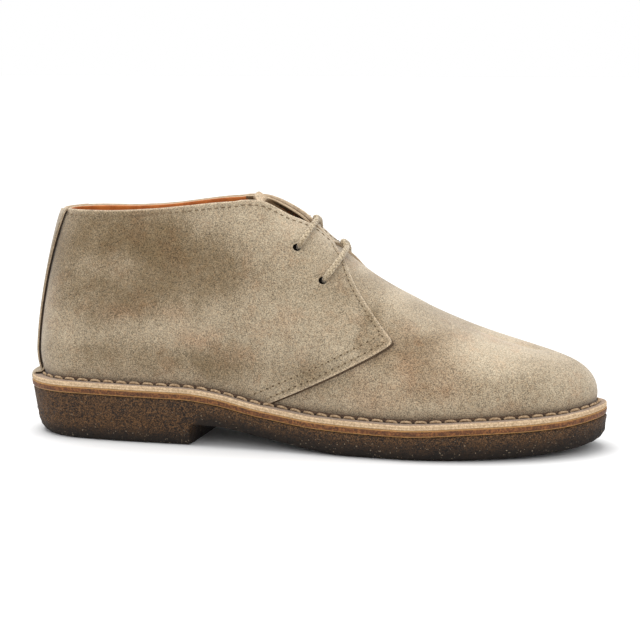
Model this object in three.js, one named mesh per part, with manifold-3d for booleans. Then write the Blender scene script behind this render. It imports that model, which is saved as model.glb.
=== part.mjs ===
// Chukka boot for the right foot, standing on its sole.
// Millimetres. +X points to the toe, +Y to the inner (medial) side and +Z up.
// Every shell, layer and overlay is worked out from one form, so the pieces follow each other.
import * as THREE from "three";
import { mergeVertices } from "three/addons/utils/BufferGeometryUtils.js";
import Module from "manifold-3d";

const wasm = await Module();
wasm.setup();

// ---- Driving dimensions ----

const LENGTH = 300; // sole, heel to toe
const GAP = 0.3; // room between pieces that meet
const WALL = 2.2; // suede and lining of the upper
const OVERLAP_STEP = 1.5; // how far the quarters stand proud of the vamp
const FLANGE = 2.6; // edge of the upper, turned out and stitched down
const MIDSOLE = 3;
const INSOLE = 2.5;
const STRIP = { halfWidth: 12, thickness: 1.6, lobe: 1.4 }; // heel strip over the back seam
const LACE = { radius: 1.7, sides: 8 };
const EYELET_RADIUS = 2.4;
const HEEL_BREAST = 95.5; // front face of the heel
const HEEL_ROUND = 36; // length of the rounded heel end of the outline
const BALL = 205; // widest station of the sole
const FLANGE_CORNER = 0.7; // bevel on the cut edge of the flange
const TOE_AXIS = 4; // the tip of the toe lies this far to the inner side

// Shape of the two ends of the sole outline: 2 is an ellipse, more is squarer.
const HEEL_SQUARENESS = 2.2;
const TOE_SQUARENESS = 1.9;

// Shares of each side's columns that the heel end and the toe end take.
const HEEL_SHARE = 0.2;
const TOE_SHARE = 0.32;
const SIDE_COLUMNS = 34; // columns along each side, from heel to toe

// Room for the cutters, beyond the boot all round.
const [BEHIND, BESIDE, SKY] = [-20, 90, 400];

// Half widths of the sole.
const SOLE_WIDTH = [
  { x: HEEL_ROUND, lateral: 35.5, medial: 34.5 },
  { x: 65, lateral: 38.2, medial: 35.5 },
  { x: 100, lateral: 39.5, medial: 33.5 },
  { x: 140, lateral: 43.5, medial: 38.5 },
  { x: 175, lateral: 50, medial: 49 },
  { x: BALL, lateral: 53, medial: 55 },
];

// Height of the underside of the upper: heel seat, arch, ball and toe spring.
const SEAT = [
  { x: 0, z: 27.2 },
  { x: 50, z: 26.7 },
  { x: 90, z: 26.3 },
  { x: 106, z: 24.8 },
  { x: 133, z: 19.6 },
  { x: 165, z: 16 },
  { x: BALL, z: 15 },
  { x: 240, z: 16.6 },
  { x: 280, z: 18.2 },
  { x: LENGTH, z: 20.6 },
];

// Height of the underside of the crepe runner: on the heel lift, through the arch, flat on the
// floor under the ball, and up at the toe.
const TREAD = [
  { x: 0, z: 11 },
  { x: 92, z: 11 },
  { x: 106, z: 10.4 },
  { x: 133, z: 5.8 },
  { x: 160, z: 1.6 },
  { x: 178, z: 0 },
  { x: 224, z: 0 },
  { x: 245, z: 0.7 },
  { x: 280, z: 2.6 },
  { x: LENGTH, z: 5.4 },
];

// Edges of the layers of the sole. up: 0 underneath, 1 on top; the others: distance beyond the
// outline at the back of the heel, at the sides of the heel and under the forefoot.
const MIDSOLE_RIM = [
  { up: 1, back: -0.7, side: -0.7, fore: -0.7 },
  { up: 0.82, back: -0.3, side: -0.3, fore: -0.3 },
  { up: 0.18, back: -0.3, side: -0.3, fore: -0.3 },
  { up: 0, back: -0.7, side: -0.7, fore: -0.7 },
];
const RUNNER_RIM = [
  { up: 1, back: -0.9, side: -0.8, fore: -0.8 },
  { up: 0.93, back: -0.8, side: -0.2, fore: 0 },
  { up: 0.35, back: -1.7, side: -0.2, fore: -0.6 },
  { up: 0.12, back: -2.2, side: -0.3, fore: -2 },
  { up: 0, back: -2.4, side: -0.4, fore: -3.8 },
];
const INSOLE_RIM = [
  { up: 1, back: -13, side: -11.5, fore: -11 },
  { up: 0, back: -13, side: -11.5, fore: -11 },
];
const HEEL_RIM = [
  { up: 1, back: -2.5, side: -0.5, fore: -0.5 },
  { up: 0.6, back: -3.3, side: -0.7, fore: -0.7 },
  { up: 0.3, back: -4.5, side: -1, fore: -1 },
  { up: 0.1, back: -6, side: -1.6, fore: -1.6 },
  { up: 0, back: -7.5, side: -2.6, fore: -2.6 },
];

// Sections of the form. Each runs from a foot on the sole to a point of the ridge over the boot.
// share: place along the side, 0 at the heel and 1 at the toe; ridge, crest: end of the section;
// bulge, rise: how far it swells and how high above its foot; fullness: 2 is an ellipse;
// margin: width of the turned-out flange.
const SECTIONS = [
  { share: 0, ridge: 38, crest: 158, bulge: 2.8, rise: 13, fullness: 1.4, margin: 9 },
  { share: 0.1, ridge: 42, crest: 158, bulge: 2.4, rise: 13, fullness: 1.5, margin: 8.4 },
  { share: 0.2, ridge: 52, crest: 158, bulge: 1.8, rise: 13, fullness: 1.66, margin: 7.4 },
  { share: 0.36, ridge: 98, crest: 149, bulge: 1, rise: 12, fullness: 1.64, margin: 7.2 },
  { share: 0.5, ridge: 140, crest: 118, bulge: 1.4, rise: 11, fullness: 1.95, margin: 7 },
  { share: 0.6, ridge: 176, crest: 88, bulge: 2, rise: 10, fullness: 2, margin: 7 },
  { share: 0.68, ridge: 207, crest: 70.3, bulge: 2.2, rise: 9, fullness: 2, margin: 7 },
  { share: 0.8, ridge: 236, crest: 56.3, bulge: 1.8, rise: 7, fullness: 2.1, margin: 7 },
  { share: 0.9, ridge: 254, crest: 50.2, bulge: 1.2, rise: 6, fullness: 2.15, margin: 6.6 },
  { share: 0.96, ridge: 260, crest: 48.4, bulge: 1, rise: 5.4, fullness: 2.12, margin: 5.8 },
  { share: 1, ridge: 264, crest: 47.9, bulge: 0.8, rise: 5, fullness: 2.1, margin: 5.4 },
];

// Top line of the boot, seen from the side.
const COLLAR = [
  { x: -10, z: 116.4 },
  { x: 14, z: 116.3 },
  { x: 45, z: 116.2 },
  { x: 70, z: 117.4 },
  { x: 89, z: 119.2 },
  { x: 106, z: 121 },
  { x: 130, z: 122.3 },
  { x: 150, z: 123 },
];

// Opening between the two facings, seen from above.
const THROAT = [
  { x: 118, lateral: -14, medial: 12 },
  { x: 130, lateral: -12.5, medial: 10 },
  { x: 140, lateral: -11.2, medial: 7.2 },
  { x: 147, lateral: -7.8, medial: 3 },
  { x: 152, lateral: -4.4, medial: -0.6 },
  { x: 155, lateral: -3.4, medial: -1.8 },
];

// Front and lower edge of each quarter, seen from the side, from the throat to the flange.
const QUARTER_EDGE = [
  { x: 158, z: 140 },
  { x: 160, z: 101 },
  { x: 168.5, z: 92 },
  { x: 173.5, z: 85 },
  { x: 179, z: 78 },
  { x: 184.5, z: 71.5 },
  { x: 190, z: 65 },
  { x: 199.3, z: 55.3 },
  { x: 190.5, z: 49.8 },
  { x: 178, z: 43 },
  { x: 164, z: 35.8 },
  { x: 149, z: 28.6 },
  { x: 134, z: 21.6 },
  { x: 126, z: 12 },
];

// Eyelets, as a station along the boot and the share of the way up its section.
const EYELETS = [
  { name: "upper", x: 147.5, climb: 0.63 },
  { name: "lower", x: 162, climb: 0.555 },
];

// Middle line of the tongue from its hidden lower end to its tip, with its half width.
const TONGUE = [
  { x: 160, z: 92.5, half: 11.5 },
  { x: 153, z: 98, half: 12 },
  { x: 145, z: 105, half: 12.5 },
  { x: 134, z: 114, half: 11 },
  { x: 122, z: 126, half: 10 },
];
const TONGUE_THICKNESS = 2;
const TONGUE_ARCH = 0.034; // drop at the sides, times the distance from the middle squared

// Half of a lace bar. up: 0 at the eyelet, 1 on the ridge; lean: share of its reach to the front.
const LACE_BAR = [
  { up: 0.2, lean: 0.55 },
  { up: 0.5, lean: 0.95 },
  { up: 0.8, lean: 1 },
  { up: 0.96, lean: 0.85 },
];
const [UPPER_LEAN, LOWER_LEAN] = [5, 7.5]; // reach of each bar to the front
const LACE_LIFT = 0.6; // air between the lace and the leather it crosses

// ---- Small mathematics ----

// Smooth curve through the rows of a table: a cubic between rows that never overshoots them.
function curveOf(rows, key, along = "x") {
  const at = rows.map((row) => row[along]);
  const value = rows.map((row) => row[key]);
  const steps = at.slice(1).map((a, i) => (value[i + 1] - value[i]) / (a - at[i]));
  const slope = at.map((_, i) => {
    if (i === 0 || i === at.length - 1) return steps[Math.min(i, steps.length - 1)];
    const [before, after] = [steps[i - 1], steps[i]];
    return before * after <= 0 ? 0 : (2 * before * after) / (before + after);
  });
  return (a) => {
    const end = at.length - 1;
    if (a <= at[0]) return value[0];
    if (a >= at[end]) return value[end];
    const i = at.findIndex((next) => next > a) - 1;
    const width = at[i + 1] - at[i];
    const s = (a - at[i]) / width;
    return (
      value[i] * (1 + 2 * s) * (1 - s) ** 2 +
      slope[i] * width * s * (1 - s) ** 2 +
      value[i + 1] * s * s * (3 - 2 * s) +
      slope[i + 1] * width * s * s * (s - 1)
    );
  };
}

const power = (value, exponent) => Math.max(value, 0) ** exponent;
const { lerp: mix, smoothstep } = THREE.MathUtils;
const range = (count) => Array.from({ length: count }, (_, i) => i);

// ---- The form ----

const soleHalf = {
  "-1": curveOf(SOLE_WIDTH, "lateral"),
  1: curveOf(SOLE_WIDTH, "medial"),
};
const seat = curveOf(SEAT, "z");
const section = Object.fromEntries(
  ["ridge", "crest", "bulge", "rise", "fullness", "margin"].map((key) => [
    key,
    curveOf(SECTIONS, key, "share"),
  ]),
);

// A point of the sole outline: side is -1 on the lateral side and 1 on the medial side.
function outline(side, share) {
  if (share < HEEL_SHARE) {
    const turn = (share / HEEL_SHARE) * (Math.PI / 2);
    const half = soleHalf[side](HEEL_ROUND);
    return {
      x: HEEL_ROUND * (1 - power(Math.cos(turn), 2 / HEEL_SQUARENESS)),
      y: side * half * power(Math.sin(turn), 2 / HEEL_SQUARENESS),
    };
  }
  if (share > 1 - TOE_SHARE) {
    const turn = ((1 - share) / TOE_SHARE) * (Math.PI / 2);
    const half = soleHalf[side](BALL) - side * TOE_AXIS;
    return {
      x: BALL + (LENGTH - BALL) * power(Math.cos(turn), 2 / TOE_SQUARENESS),
      y: TOE_AXIS + side * half * power(Math.sin(turn), 2 / TOE_SQUARENESS),
    };
  }
  const x = mix(HEEL_ROUND, BALL, (share - HEEL_SHARE) / (1 - HEEL_SHARE - TOE_SHARE));
  return { x, y: side * soleHalf[side](x) };
}

// The outline moved outwards by a distance, square to its edge in plan.
function offsetOutline(side, share, distance) {
  const step = 1e-3;
  const before = outline(side, Math.max(share - step, 0));
  const after = outline(side, Math.min(share + step, 1));
  const along = new THREE.Vector2(after.x - before.x, after.y - before.y).normalize();
  const middle = outline(side, share);
  if (share === 0) along.set(0, side);
  if (share === 1) along.set(0, -side);
  return { x: middle.x + side * -along.y * distance, y: middle.y + side * along.x * distance };
}

// The line over the boot where the two sides meet, seen from above.
const ridgeLine = (share) => ({
  x: section.ridge(share),
  y: TOE_AXIS * smoothstep(section.ridge(share), 150, 262),
});

// A point of the form on one section: climb is 0 at the bulge and 1 at the ridge, and from 0 down
// to -1 it rounds in under the bulge to the foot on the flange.
function formPoint(side, share, climb) {
  const foot = offsetOutline(side, share, -section.margin(share));
  const ridge = ridgeLine(share);
  const reach = Math.hypot(foot.x - ridge.x, foot.y - ridge.y);
  const low = seat(foot.x) + FLANGE;
  const middle = low + section.rise(share);
  const full = 2 / section.fullness(share);
  const angle = Math.abs(climb) * (Math.PI / 2);
  const out =
    climb >= 0
      ? (reach + section.bulge(share)) * power(Math.cos(angle), full)
      : reach + section.bulge(share) * (1 - climb * climb);
  const z =
    climb >= 0
      ? middle + (section.crest(share) - middle) * power(Math.sin(angle), full)
      : middle + (middle - low) * climb;
  return new THREE.Vector3(
    mix(ridge.x, foot.x, out / reach),
    mix(ridge.y, foot.y, out / reach),
    z,
  );
}

// Columns run once round the boot: lateral side from heel to toe, then medial side back.
const COLUMNS = range(2 * SIDE_COLUMNS).map((c) =>
  c <= SIDE_COLUMNS
    ? { side: -1, share: c / SIDE_COLUMNS }
    : { side: 1, share: (2 * SIDE_COLUMNS - c) / SIDE_COLUMNS },
);

// On the ridge the two sides share their points, so a medial column borrows its lateral twin's.
const twin = (c) => (c <= SIDE_COLUMNS ? c : 2 * SIDE_COLUMNS - c);

// Triangles of a grid of rows by columns that closes round the boot; rows named in zipped are
// ridge lines, where the medial columns reuse the lateral points.
function gridTriangles(rowCount, zipped) {
  const count = COLUMNS.length;
  const at = (r, c) => r * count + (zipped.includes(r) ? twin(c % count) : c % count);
  const triangles = [];
  for (const r of range(rowCount - 1))
    for (const c of range(count)) {
      const [a, b, d, e] = [at(r, c), at(r + 1, c), at(r + 1, c + 1), at(r, c + 1)];
      for (const t of [[a, b, d], [a, d, e]])
        if (t[0] !== t[1] && t[1] !== t[2] && t[0] !== t[2]) triangles.push(t);
    }
  return triangles;
}

// The form's points and outward normals, a row for each climb from the ridge down to the foot.
const CLIMBS = [1, 0.93, 0.85, 0.76, 0.67, 0.58, 0.49, 0.4, 0.31, 0.22, 0.12, 0, -0.35, -0.7, -1];
const formGrid = CLIMBS.map((climb) =>
  COLUMNS.map(({ side, share }) => formPoint(side, share, climb)),
);
const formNormals = CLIMBS.map(() => COLUMNS.map(() => new THREE.Vector3()));
for (const triangle of gridTriangles(CLIMBS.length, [0])) {
  const place = triangle.map((i) => [Math.floor(i / COLUMNS.length), i % COLUMNS.length]);
  const [a, b, c] = place.map(([r, col]) => formGrid[r][col]);
  const normal = b.clone().sub(a).cross(c.clone().sub(a));
  for (const [r, col] of place) formNormals[r][col].add(normal);
}
for (const row of formNormals) for (const normal of row) normal.normalize();

// Rows of the form moved outwards by a distance.
const formRows = (distance) =>
  formGrid.map((row, r) =>
    row.map((point, c) => point.clone().addScaledVector(formNormals[r][c], distance)),
  );

// ---- Solids ----

function manifoldOf(positions, triangles) {
  return new wasm.Manifold(
    new wasm.Mesh({
      numProp: 3,
      vertProperties: new Float32Array(positions),
      triVerts: new Uint32Array(triangles),
    }),
  );
}

// A solid whose first and last rows are zipped on a ridge line, from rows of points.
function zippedSolid(rows) {
  const used = new Map();
  const positions = [];
  const indexOf = (i) => {
    if (!used.has(i)) {
      const p = rows[Math.floor(i / COLUMNS.length)][i % COLUMNS.length];
      used.set(i, used.size);
      positions.push(p.x, p.y, p.z);
    }
    return used.get(i);
  };
  const triangles = gridTriangles(rows.length, [0, rows.length - 1]).flat().map(indexOf);
  return manifoldOf(positions, triangles);
}

// A three.js geometry as a solid.
function solidOf(geometry) {
  const bare = geometry.clone();
  bare.deleteAttribute("normal");
  bare.deleteAttribute("uv");
  const merged = mergeVertices(bare, 1e-4);
  return manifoldOf(merged.attributes.position.array, merged.index.array);
}

// One ring of points along the outline, moved outwards by a distance, at a height.
const edgeRow = (distance, height) =>
  COLUMNS.map(({ side, share }) => {
    const { x, y } = offsetOutline(side, share, distance);
    return new THREE.Vector3(x, y, height(x));
  });

const RINGS = [0.2, 0.5, 1]; // from the rim of a layer to the line under the ridge

// Where a rim stands at a station: back of the heel, sides of the heel, then forefoot.
const rimOut = (row, x) =>
  mix(
    mix(row.back, row.side, smoothstep(x, 4, 45)),
    row.fore,
    smoothstep(x, HEEL_BREAST, HEEL_BREAST + 30),
  );

// A layer of the sole between two heights, with the edge that its rim table gives.
function layer({ top, bottom, rim }) {
  const rows = rim.map((row) =>
    COLUMNS.map(({ side, share }) => {
      const { x, y } = offsetOutline(side, share, rimOut(row, outline(side, share).x));
      return new THREE.Vector3(x, y, mix(bottom(x), top(x), row.up));
    }),
  );
  const inwards = (row, share, height) =>
    row.map((p, c) => {
      const ridge = ridgeLine(COLUMNS[c].share);
      const x = mix(p.x, ridge.x, share);
      return new THREE.Vector3(x, mix(p.y, ridge.y, share), height(x));
    });
  const [first, last] = [rows[0], rows.at(-1)];
  return zippedSolid([
    ...RINGS.toReversed().map((share) => inwards(first, share, top)),
    ...rows,
    ...RINGS.map((share) => inwards(last, share, bottom)),
  ]);
}

// A shell between two skins of the form, with its lower edge turned out as a brim.
function brimmedShell({ inner, outer, brimBottom, brimTop, reach }) {
  const outside = formRows(outer);
  const inside = formRows(inner).reverse();
  const foot = inside[0];
  const corner = FLANGE_CORNER;
  const ring = (points, height) => points.map((p) => new THREE.Vector3(p.x, p.y, height(p.x)));
  outside[outside.length - 1] = ring(outside[outside.length - 1], brimTop);
  return zippedSolid([
    ...outside,
    edgeRow(reach - corner, brimTop),
    edgeRow(reach, (x) => brimTop(x) - corner),
    edgeRow(reach, (x) => brimBottom(x) + corner / 2),
    edgeRow(reach - corner / 2, brimBottom),
    ring(foot, brimBottom),
    ...inside.slice(1),
  ]);
}

// A prism through the boot from a side view, given as [x, z] corners.
function sideCutter(corners) {
  const shape = new THREE.Shape(corners.map(([x, z]) => new THREE.Vector2(x, z)));
  const prism = new THREE.ExtrudeGeometry(shape, { depth: 2 * BESIDE, bevelEnabled: false });
  return solidOf(prism.rotateX(Math.PI / 2).translate(0, BESIDE, 0));
}

// A prism through the boot from a plan view, given as [x, y] corners.
function planCutter(corners, from, to) {
  const shape = new THREE.Shape(corners.map(([x, y]) => new THREE.Vector2(x, y)));
  const prism = new THREE.ExtrudeGeometry(shape, { depth: to - from, bevelEnabled: false });
  return solidOf(prism.translate(0, 0, from));
}

// An upright block from behind the boot to a station, given its half width and floor.
const rearBlock = (station, halfWidth, floor) =>
  planCutter(
    [
      [BEHIND, -halfWidth],
      [station, -halfWidth],
      [station, halfWidth],
      [BEHIND, halfWidth],
    ],
    floor,
    SKY,
  );

// ---- Upper ----

const THROAT_FLOOR = 70; // the throat cutter stops in the hollow under the facings
const DRILL = { depth: 14, sides: 10 };

const collarHeight = curveOf(COLLAR, "z");
const collarStations = range(17).map((i) => mix(COLLAR[0].x, COLLAR.at(-1).x, i / 16));
const aboveCollar = sideCutter([
  ...collarStations.map((x) => [x, collarHeight(x)]),
  [COLLAR.at(-1).x, SKY],
  [COLLAR[0].x, SKY],
]);

const throatSide = { lateral: curveOf(THROAT, "lateral"), medial: curveOf(THROAT, "medial") };
const throatStations = range(9).map((i) => mix(THROAT[0].x, THROAT.at(-1).x, i / 8));
const throatCutter = planCutter(
  [
    ...throatStations.map((x) => [x, throatSide.lateral(x)]),
    ...throatStations.toReversed().map((x) => [x, throatSide.medial(x)]),
  ],
  THROAT_FLOOR,
  SKY,
);

const quarterRegion = sideCutter([
  ...QUARTER_EDGE.map(({ x, z }) => [x, z]),
  [BEHIND, QUARTER_EDGE.at(-1).z],
  [BEHIND, QUARTER_EDGE[0].z],
]);

// The share along a side at which the form passes a station at a given climb.
function shareAt(side, x, climb) {
  let [low, high] = [0, 1];
  for (const _ of range(30)) {
    const middle = (low + high) / 2;
    if (formPoint(side, middle, climb).x < x) low = middle;
    else high = middle;
  }
  return (low + high) / 2;
}

// A point lifted off the form, and the outward direction there.
function onForm(side, x, climb, lift) {
  const share = shareAt(side, x, climb);
  const point = formPoint(side, share, climb);
  const along = formPoint(side, share + 0.01, climb).sub(point);
  const up = formPoint(side, share, climb + 0.01).sub(point);
  const normal = along.cross(up).multiplyScalar(-side).normalize();
  return { point: point.addScaledVector(normal, lift), normal };
}

function eyeletHole(side, { x, climb }) {
  const { point, normal } = onForm(side, x, climb, 0);
  const drill = new THREE.CylinderGeometry(EYELET_RADIUS, EYELET_RADIUS, DRILL.depth, DRILL.sides);
  drill.applyQuaternion(
    new THREE.Quaternion().setFromUnitVectors(new THREE.Vector3(0, 1, 0), normal),
  );
  return solidOf(drill.translate(point.x, point.y, point.z));
}

const flangeTop = (x) => seat(x) + FLANGE;

function makeUpper() {
  const brim = { brimBottom: seat, brimTop: flangeTop, reach: 0 };
  const vamp = brimmedShell({ inner: -WALL, outer: 0, ...brim });
  const quarters = brimmedShell({ inner: -WALL / 2, outer: OVERLAP_STEP, ...brim });
  let upper = vamp.add(quarters.intersect(quarterRegion));
  upper = upper.subtract(aboveCollar).subtract(throatCutter);
  for (const side of [-1, 1])
    for (const eyelet of EYELETS) upper = upper.subtract(eyeletHole(side, eyelet));
  return upper;
}

// Overlay down the back seam: a skin clear of the quarters, turned out over their flange.
function makeBackStrip() {
  const under = OVERLAP_STEP + GAP;
  const skin = brimmedShell({
    inner: under,
    outer: under + STRIP.thickness,
    brimBottom: (x) => flangeTop(x) + GAP,
    brimTop: (x) => flangeTop(x) + GAP + STRIP.lobe,
    reach: 0,
  });
  return skin.intersect(rearBlock(HEEL_ROUND, STRIP.halfWidth, 0)).subtract(aboveCollar);
}

// ---- Tongue ----

function makeTongue() {
  const z = curveOf(TONGUE.toReversed(), "z");
  const half = curveOf(TONGUE.toReversed(), "half");
  const slab = new THREE.BoxGeometry(1, 1, 1, 12, 12, 1);
  const position = slab.attributes.position;
  const [tip, root] = [TONGUE.at(-1).x, TONGUE[0].x];
  for (const i of range(position.count)) {
    const x = mix(tip, root, position.getX(i) + 0.5);
    const y = 2 * half(x) * position.getY(i);
    const slope = z(x + 0.5) - z(x - 0.5);
    const depth = (0.5 - position.getZ(i)) * TONGUE_THICKNESS;
    const tilt = Math.hypot(1, slope);
    position.setXYZ(
      i,
      x + (slope / tilt) * depth,
      y,
      z(x) - TONGUE_ARCH * y * y - depth / tilt,
    );
  }
  return solidOf(slab);
}

// ---- Sole ----

const midsoleTop = (x) => seat(x) - GAP;
const midsoleBottom = (x) => midsoleTop(x) - MIDSOLE;
const runnerTop = (x) => midsoleBottom(x) - GAP;
const tread = curveOf(TREAD, "z");

const makeMidsole = () => layer({ top: midsoleTop, bottom: midsoleBottom, rim: MIDSOLE_RIM });

const makeOutsole = () => layer({ top: runnerTop, bottom: tread, rim: RUNNER_RIM });

// The heel lift stands under the runner and ends at the breast.
function makeHeel() {
  const block = layer({ top: (x) => tread(x) - GAP, bottom: () => 0, rim: HEEL_RIM });
  return block.intersect(rearBlock(HEEL_BREAST, BESIDE, -1));
}

// The insole lies on the midsole, inside the foot of the wall.
const makeInsole = () =>
  layer({ top: (x) => seat(x) + INSOLE, bottom: seat, rim: INSOLE_RIM });

// ---- Lace ----

// One lace: over the throat at the upper eyelets, down inside the lateral facing, and back over
// at the lower eyelets. Both ends stop just inside the medial facing.
function makeLace() {
  const over = OVERLAP_STEP + LACE.radius + LACE_LIFT;
  const under = -WALL - LACE.radius - LACE_LIFT;
  const [upper, lower] = EYELETS;
  const through = (side, eyelet, lifts) =>
    lifts.map((lift) => onForm(side, eyelet.x, eyelet.climb, lift).point);
  // Half a bar, from an eyelet to the ridge, leaning forward as it climbs.
  const halfBar = (side, eyelet, reach) =>
    LACE_BAR.map(({ up, lean }) => {
      const climb = mix(eyelet.climb, 1, up);
      return onForm(side, eyelet.x + lean * reach, climb, over).point;
    });
  const points = [
    ...through(1, upper, [under, -WALL / 2, over - LACE_LIFT]),
    ...halfBar(1, upper, UPPER_LEAN),
    ...halfBar(-1, upper, UPPER_LEAN).toReversed(),
    ...through(-1, upper, [over - LACE_LIFT, -WALL / 2, under]),
    onForm(-1, (upper.x + lower.x) / 2, (upper.climb + lower.climb) / 2, under - 0.4).point,
    ...through(-1, lower, [under, -WALL / 2, over - LACE_LIFT]),
    ...halfBar(-1, lower, LOWER_LEAN),
    ...halfBar(1, lower, LOWER_LEAN).toReversed(),
    ...through(1, lower, [over - LACE_LIFT, -WALL / 2, under]),
  ];
  const route = new THREE.CatmullRomCurve3(points, false, "centripetal");
  const sides = range(LACE.sides).map((i) => (i / LACE.sides) * 2 * Math.PI);
  const round = new THREE.Shape(
    sides.map((a) => new THREE.Vector2(Math.cos(a), Math.sin(a)).multiplyScalar(LACE.radius)),
  );
  return solidOf(new THREE.ExtrudeGeometry(round, { steps: 72, extrudePath: route }));
}

// ---- Scene graph ----

const SUEDE = { color: 0xb3a286, roughness: 0.95, metalness: 0 };
const PIECES = [
  { name: "upper", solid: makeUpper(), finish: SUEDE },
  { name: "back_strip", solid: makeBackStrip(), finish: SUEDE },
  { name: "tongue", solid: makeTongue(), finish: SUEDE },
  { name: "insole", solid: makeInsole(), finish: { color: 0xb5763c, roughness: 0.7, metalness: 0 } },
  { name: "midsole", solid: makeMidsole(), finish: { color: 0x8a4f25, roughness: 0.6, metalness: 0 } },
  { name: "outsole", solid: makeOutsole(), finish: { color: 0x57391f, roughness: 0.9, metalness: 0 } },
  { name: "heel", solid: makeHeel(), finish: { color: 0x4b3320, roughness: 0.9, metalness: 0 } },
  { name: "lace", solid: makeLace(), finish: { color: 0xc4b496, roughness: 0.9, metalness: 0 } },
];

const boot = new THREE.Group();
for (const { name, solid, finish } of PIECES) {
  const { vertProperties, triVerts } = solid.getMesh();
  const geometry = new THREE.BufferGeometry();
  geometry.setAttribute("position", new THREE.BufferAttribute(vertProperties, 3));
  geometry.setIndex(new THREE.BufferAttribute(triVerts, 1));
  geometry.computeVertexNormals();
  const mesh = new THREE.Mesh(geometry, new THREE.MeshStandardMaterial(finish));
  mesh.name = name;
  boot.add(mesh);
}

// The origin is on the floor, in the middle of the boot's box.
const box = new THREE.Box3().setFromObject(boot);
const centre = box.getCenter(new THREE.Vector3());
boot.position.set(-centre.x, -centre.y, -box.min.z);

export default boot;
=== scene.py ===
# %% [markdown]
# # A suede chukka boot
# One right boot, empty, standing on its sole. The upper is sand suede lined with tan leather. Its
# lower edge is turned outwards and stitched down to a midsole, over a runner and heel of crepe.
# Every sheet, edge and seam is worked out from one form, the shape of the foot inside, so that
# the pieces follow each other. The tables below are in millimetres, measured from the back of
# the heel on the floor: x to the toe, y to the inner side, z up.

# %% Loading the frame
import math

import bpy
import numpy as np
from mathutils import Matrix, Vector, noise
from mathutils.kdtree import KDTree

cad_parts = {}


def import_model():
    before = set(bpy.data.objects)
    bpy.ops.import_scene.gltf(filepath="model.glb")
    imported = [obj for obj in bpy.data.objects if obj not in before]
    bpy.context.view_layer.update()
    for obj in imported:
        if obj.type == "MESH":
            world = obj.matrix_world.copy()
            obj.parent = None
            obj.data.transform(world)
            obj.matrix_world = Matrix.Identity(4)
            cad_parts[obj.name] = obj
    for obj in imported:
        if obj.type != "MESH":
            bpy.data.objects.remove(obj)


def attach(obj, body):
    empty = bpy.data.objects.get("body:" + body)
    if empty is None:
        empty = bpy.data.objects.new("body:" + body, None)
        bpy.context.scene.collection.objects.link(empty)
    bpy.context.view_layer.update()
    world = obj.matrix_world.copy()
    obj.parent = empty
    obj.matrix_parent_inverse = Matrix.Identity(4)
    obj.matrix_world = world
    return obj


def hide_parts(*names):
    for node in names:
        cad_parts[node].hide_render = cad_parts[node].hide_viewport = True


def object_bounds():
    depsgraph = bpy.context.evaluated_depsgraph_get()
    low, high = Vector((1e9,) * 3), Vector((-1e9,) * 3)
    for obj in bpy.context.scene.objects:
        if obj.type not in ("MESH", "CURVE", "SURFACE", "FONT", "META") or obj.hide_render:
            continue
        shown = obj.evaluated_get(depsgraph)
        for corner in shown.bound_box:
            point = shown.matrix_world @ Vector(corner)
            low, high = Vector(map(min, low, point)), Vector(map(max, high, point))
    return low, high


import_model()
CAD_BOX = [list(corner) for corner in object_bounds()]
MM = 0.001
print("frame box in metres:", CAD_BOX)

# %% [markdown]
# ## Tables of the boot
# A shoemaker keeps a last, a solid foot, and cuts everything to fit it. These tables are the
# last: half widths of the sole, heights of the seat and the tread, and sections from the heel
# (share 0) to the toe (share 1).

# %% The tables
LENGTH, BALL, HEEL_ROUND, BREAST, TOE_AXIS = 300, 205, 36, 95.5, 4
HEEL_SHARE, TOE_SHARE = 0.2, 0.32  # shares of the outline that the two rounded ends take
HEEL_SQUARE, TOE_SQUARE = 2.2, 1.9
FLANGE, GAP, MIDSOLE, INSOLE = 2.6, 0.3, 3.0, 2.5
QUARTER_LIFT, LINING = 1.5, 2.2  # outside of the quarters and inside of the lining
SIDES = ((-1, "lateral"), (1, "medial"))  # the outer side of a right boot has negative y


def columns(names, rows):
    """A table as a dictionary of columns."""
    return dict(zip(names.split(), np.array(rows, float).T))


WIDTH = columns("x lateral medial", [
    (36, 35.5, 34.5), (65, 38.2, 35.5), (100, 39.5, 33.5), (140, 43.5, 38.5), (175, 50, 49), (205, 53, 55)])
SEAT = columns("x z", [
    (0, 27.2), (50, 26.7), (90, 26.3), (106, 24.8), (133, 19.6), (165, 16), (205, 15), (240, 16.6),
    (280, 18.2), (300, 20.6)])
TREAD = columns("x z", [
    (0, 11), (92, 11), (106, 10.4), (133, 5.8), (160, 1.6), (178, 0), (224, 0), (245, 0.7),
    (280, 2.6), (300, 5.4)])
SECTIONS = columns("share ridge crest bulge rise fullness margin", [
    (0, 38, 158, 2.8, 13, 1.4, 9), (0.1, 42, 158, 2.4, 13, 1.5, 8.4),
    (0.2, 52, 158, 1.8, 13, 1.66, 7.4), (0.36, 98, 149, 1, 12, 1.64, 7.2),
    (0.5, 140, 118, 1.4, 11, 1.95, 7), (0.6, 176, 88, 2, 10, 2, 7), (0.68, 207, 70.3, 2.2, 9, 2, 7),
    (0.8, 236, 56.3, 1.8, 7, 2.1, 7), (0.9, 254, 50.2, 1.2, 6, 2.15, 6.6),
    (0.96, 260, 48.4, 1, 5.4, 2.12, 5.8), (1, 264, 47.9, 0.8, 5, 2.1, 5.4)])
COLLAR = columns("x z", [
    (-10, 116.4), (14, 116.3), (45, 116.2), (70, 117.4), (89, 119.2), (106, 121), (130, 122.3),
    (150, 123)])
THROAT = columns("x lateral medial", [
    (100, -15, 13), (118, -14, 12), (130, -12.5, 10), (140, -11.2, 7.2), (147, -7.8, 3),
    (152, -4.4, -0.6), (155, -3.2, -1.9), (161, -2.9, -2.3)])
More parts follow.
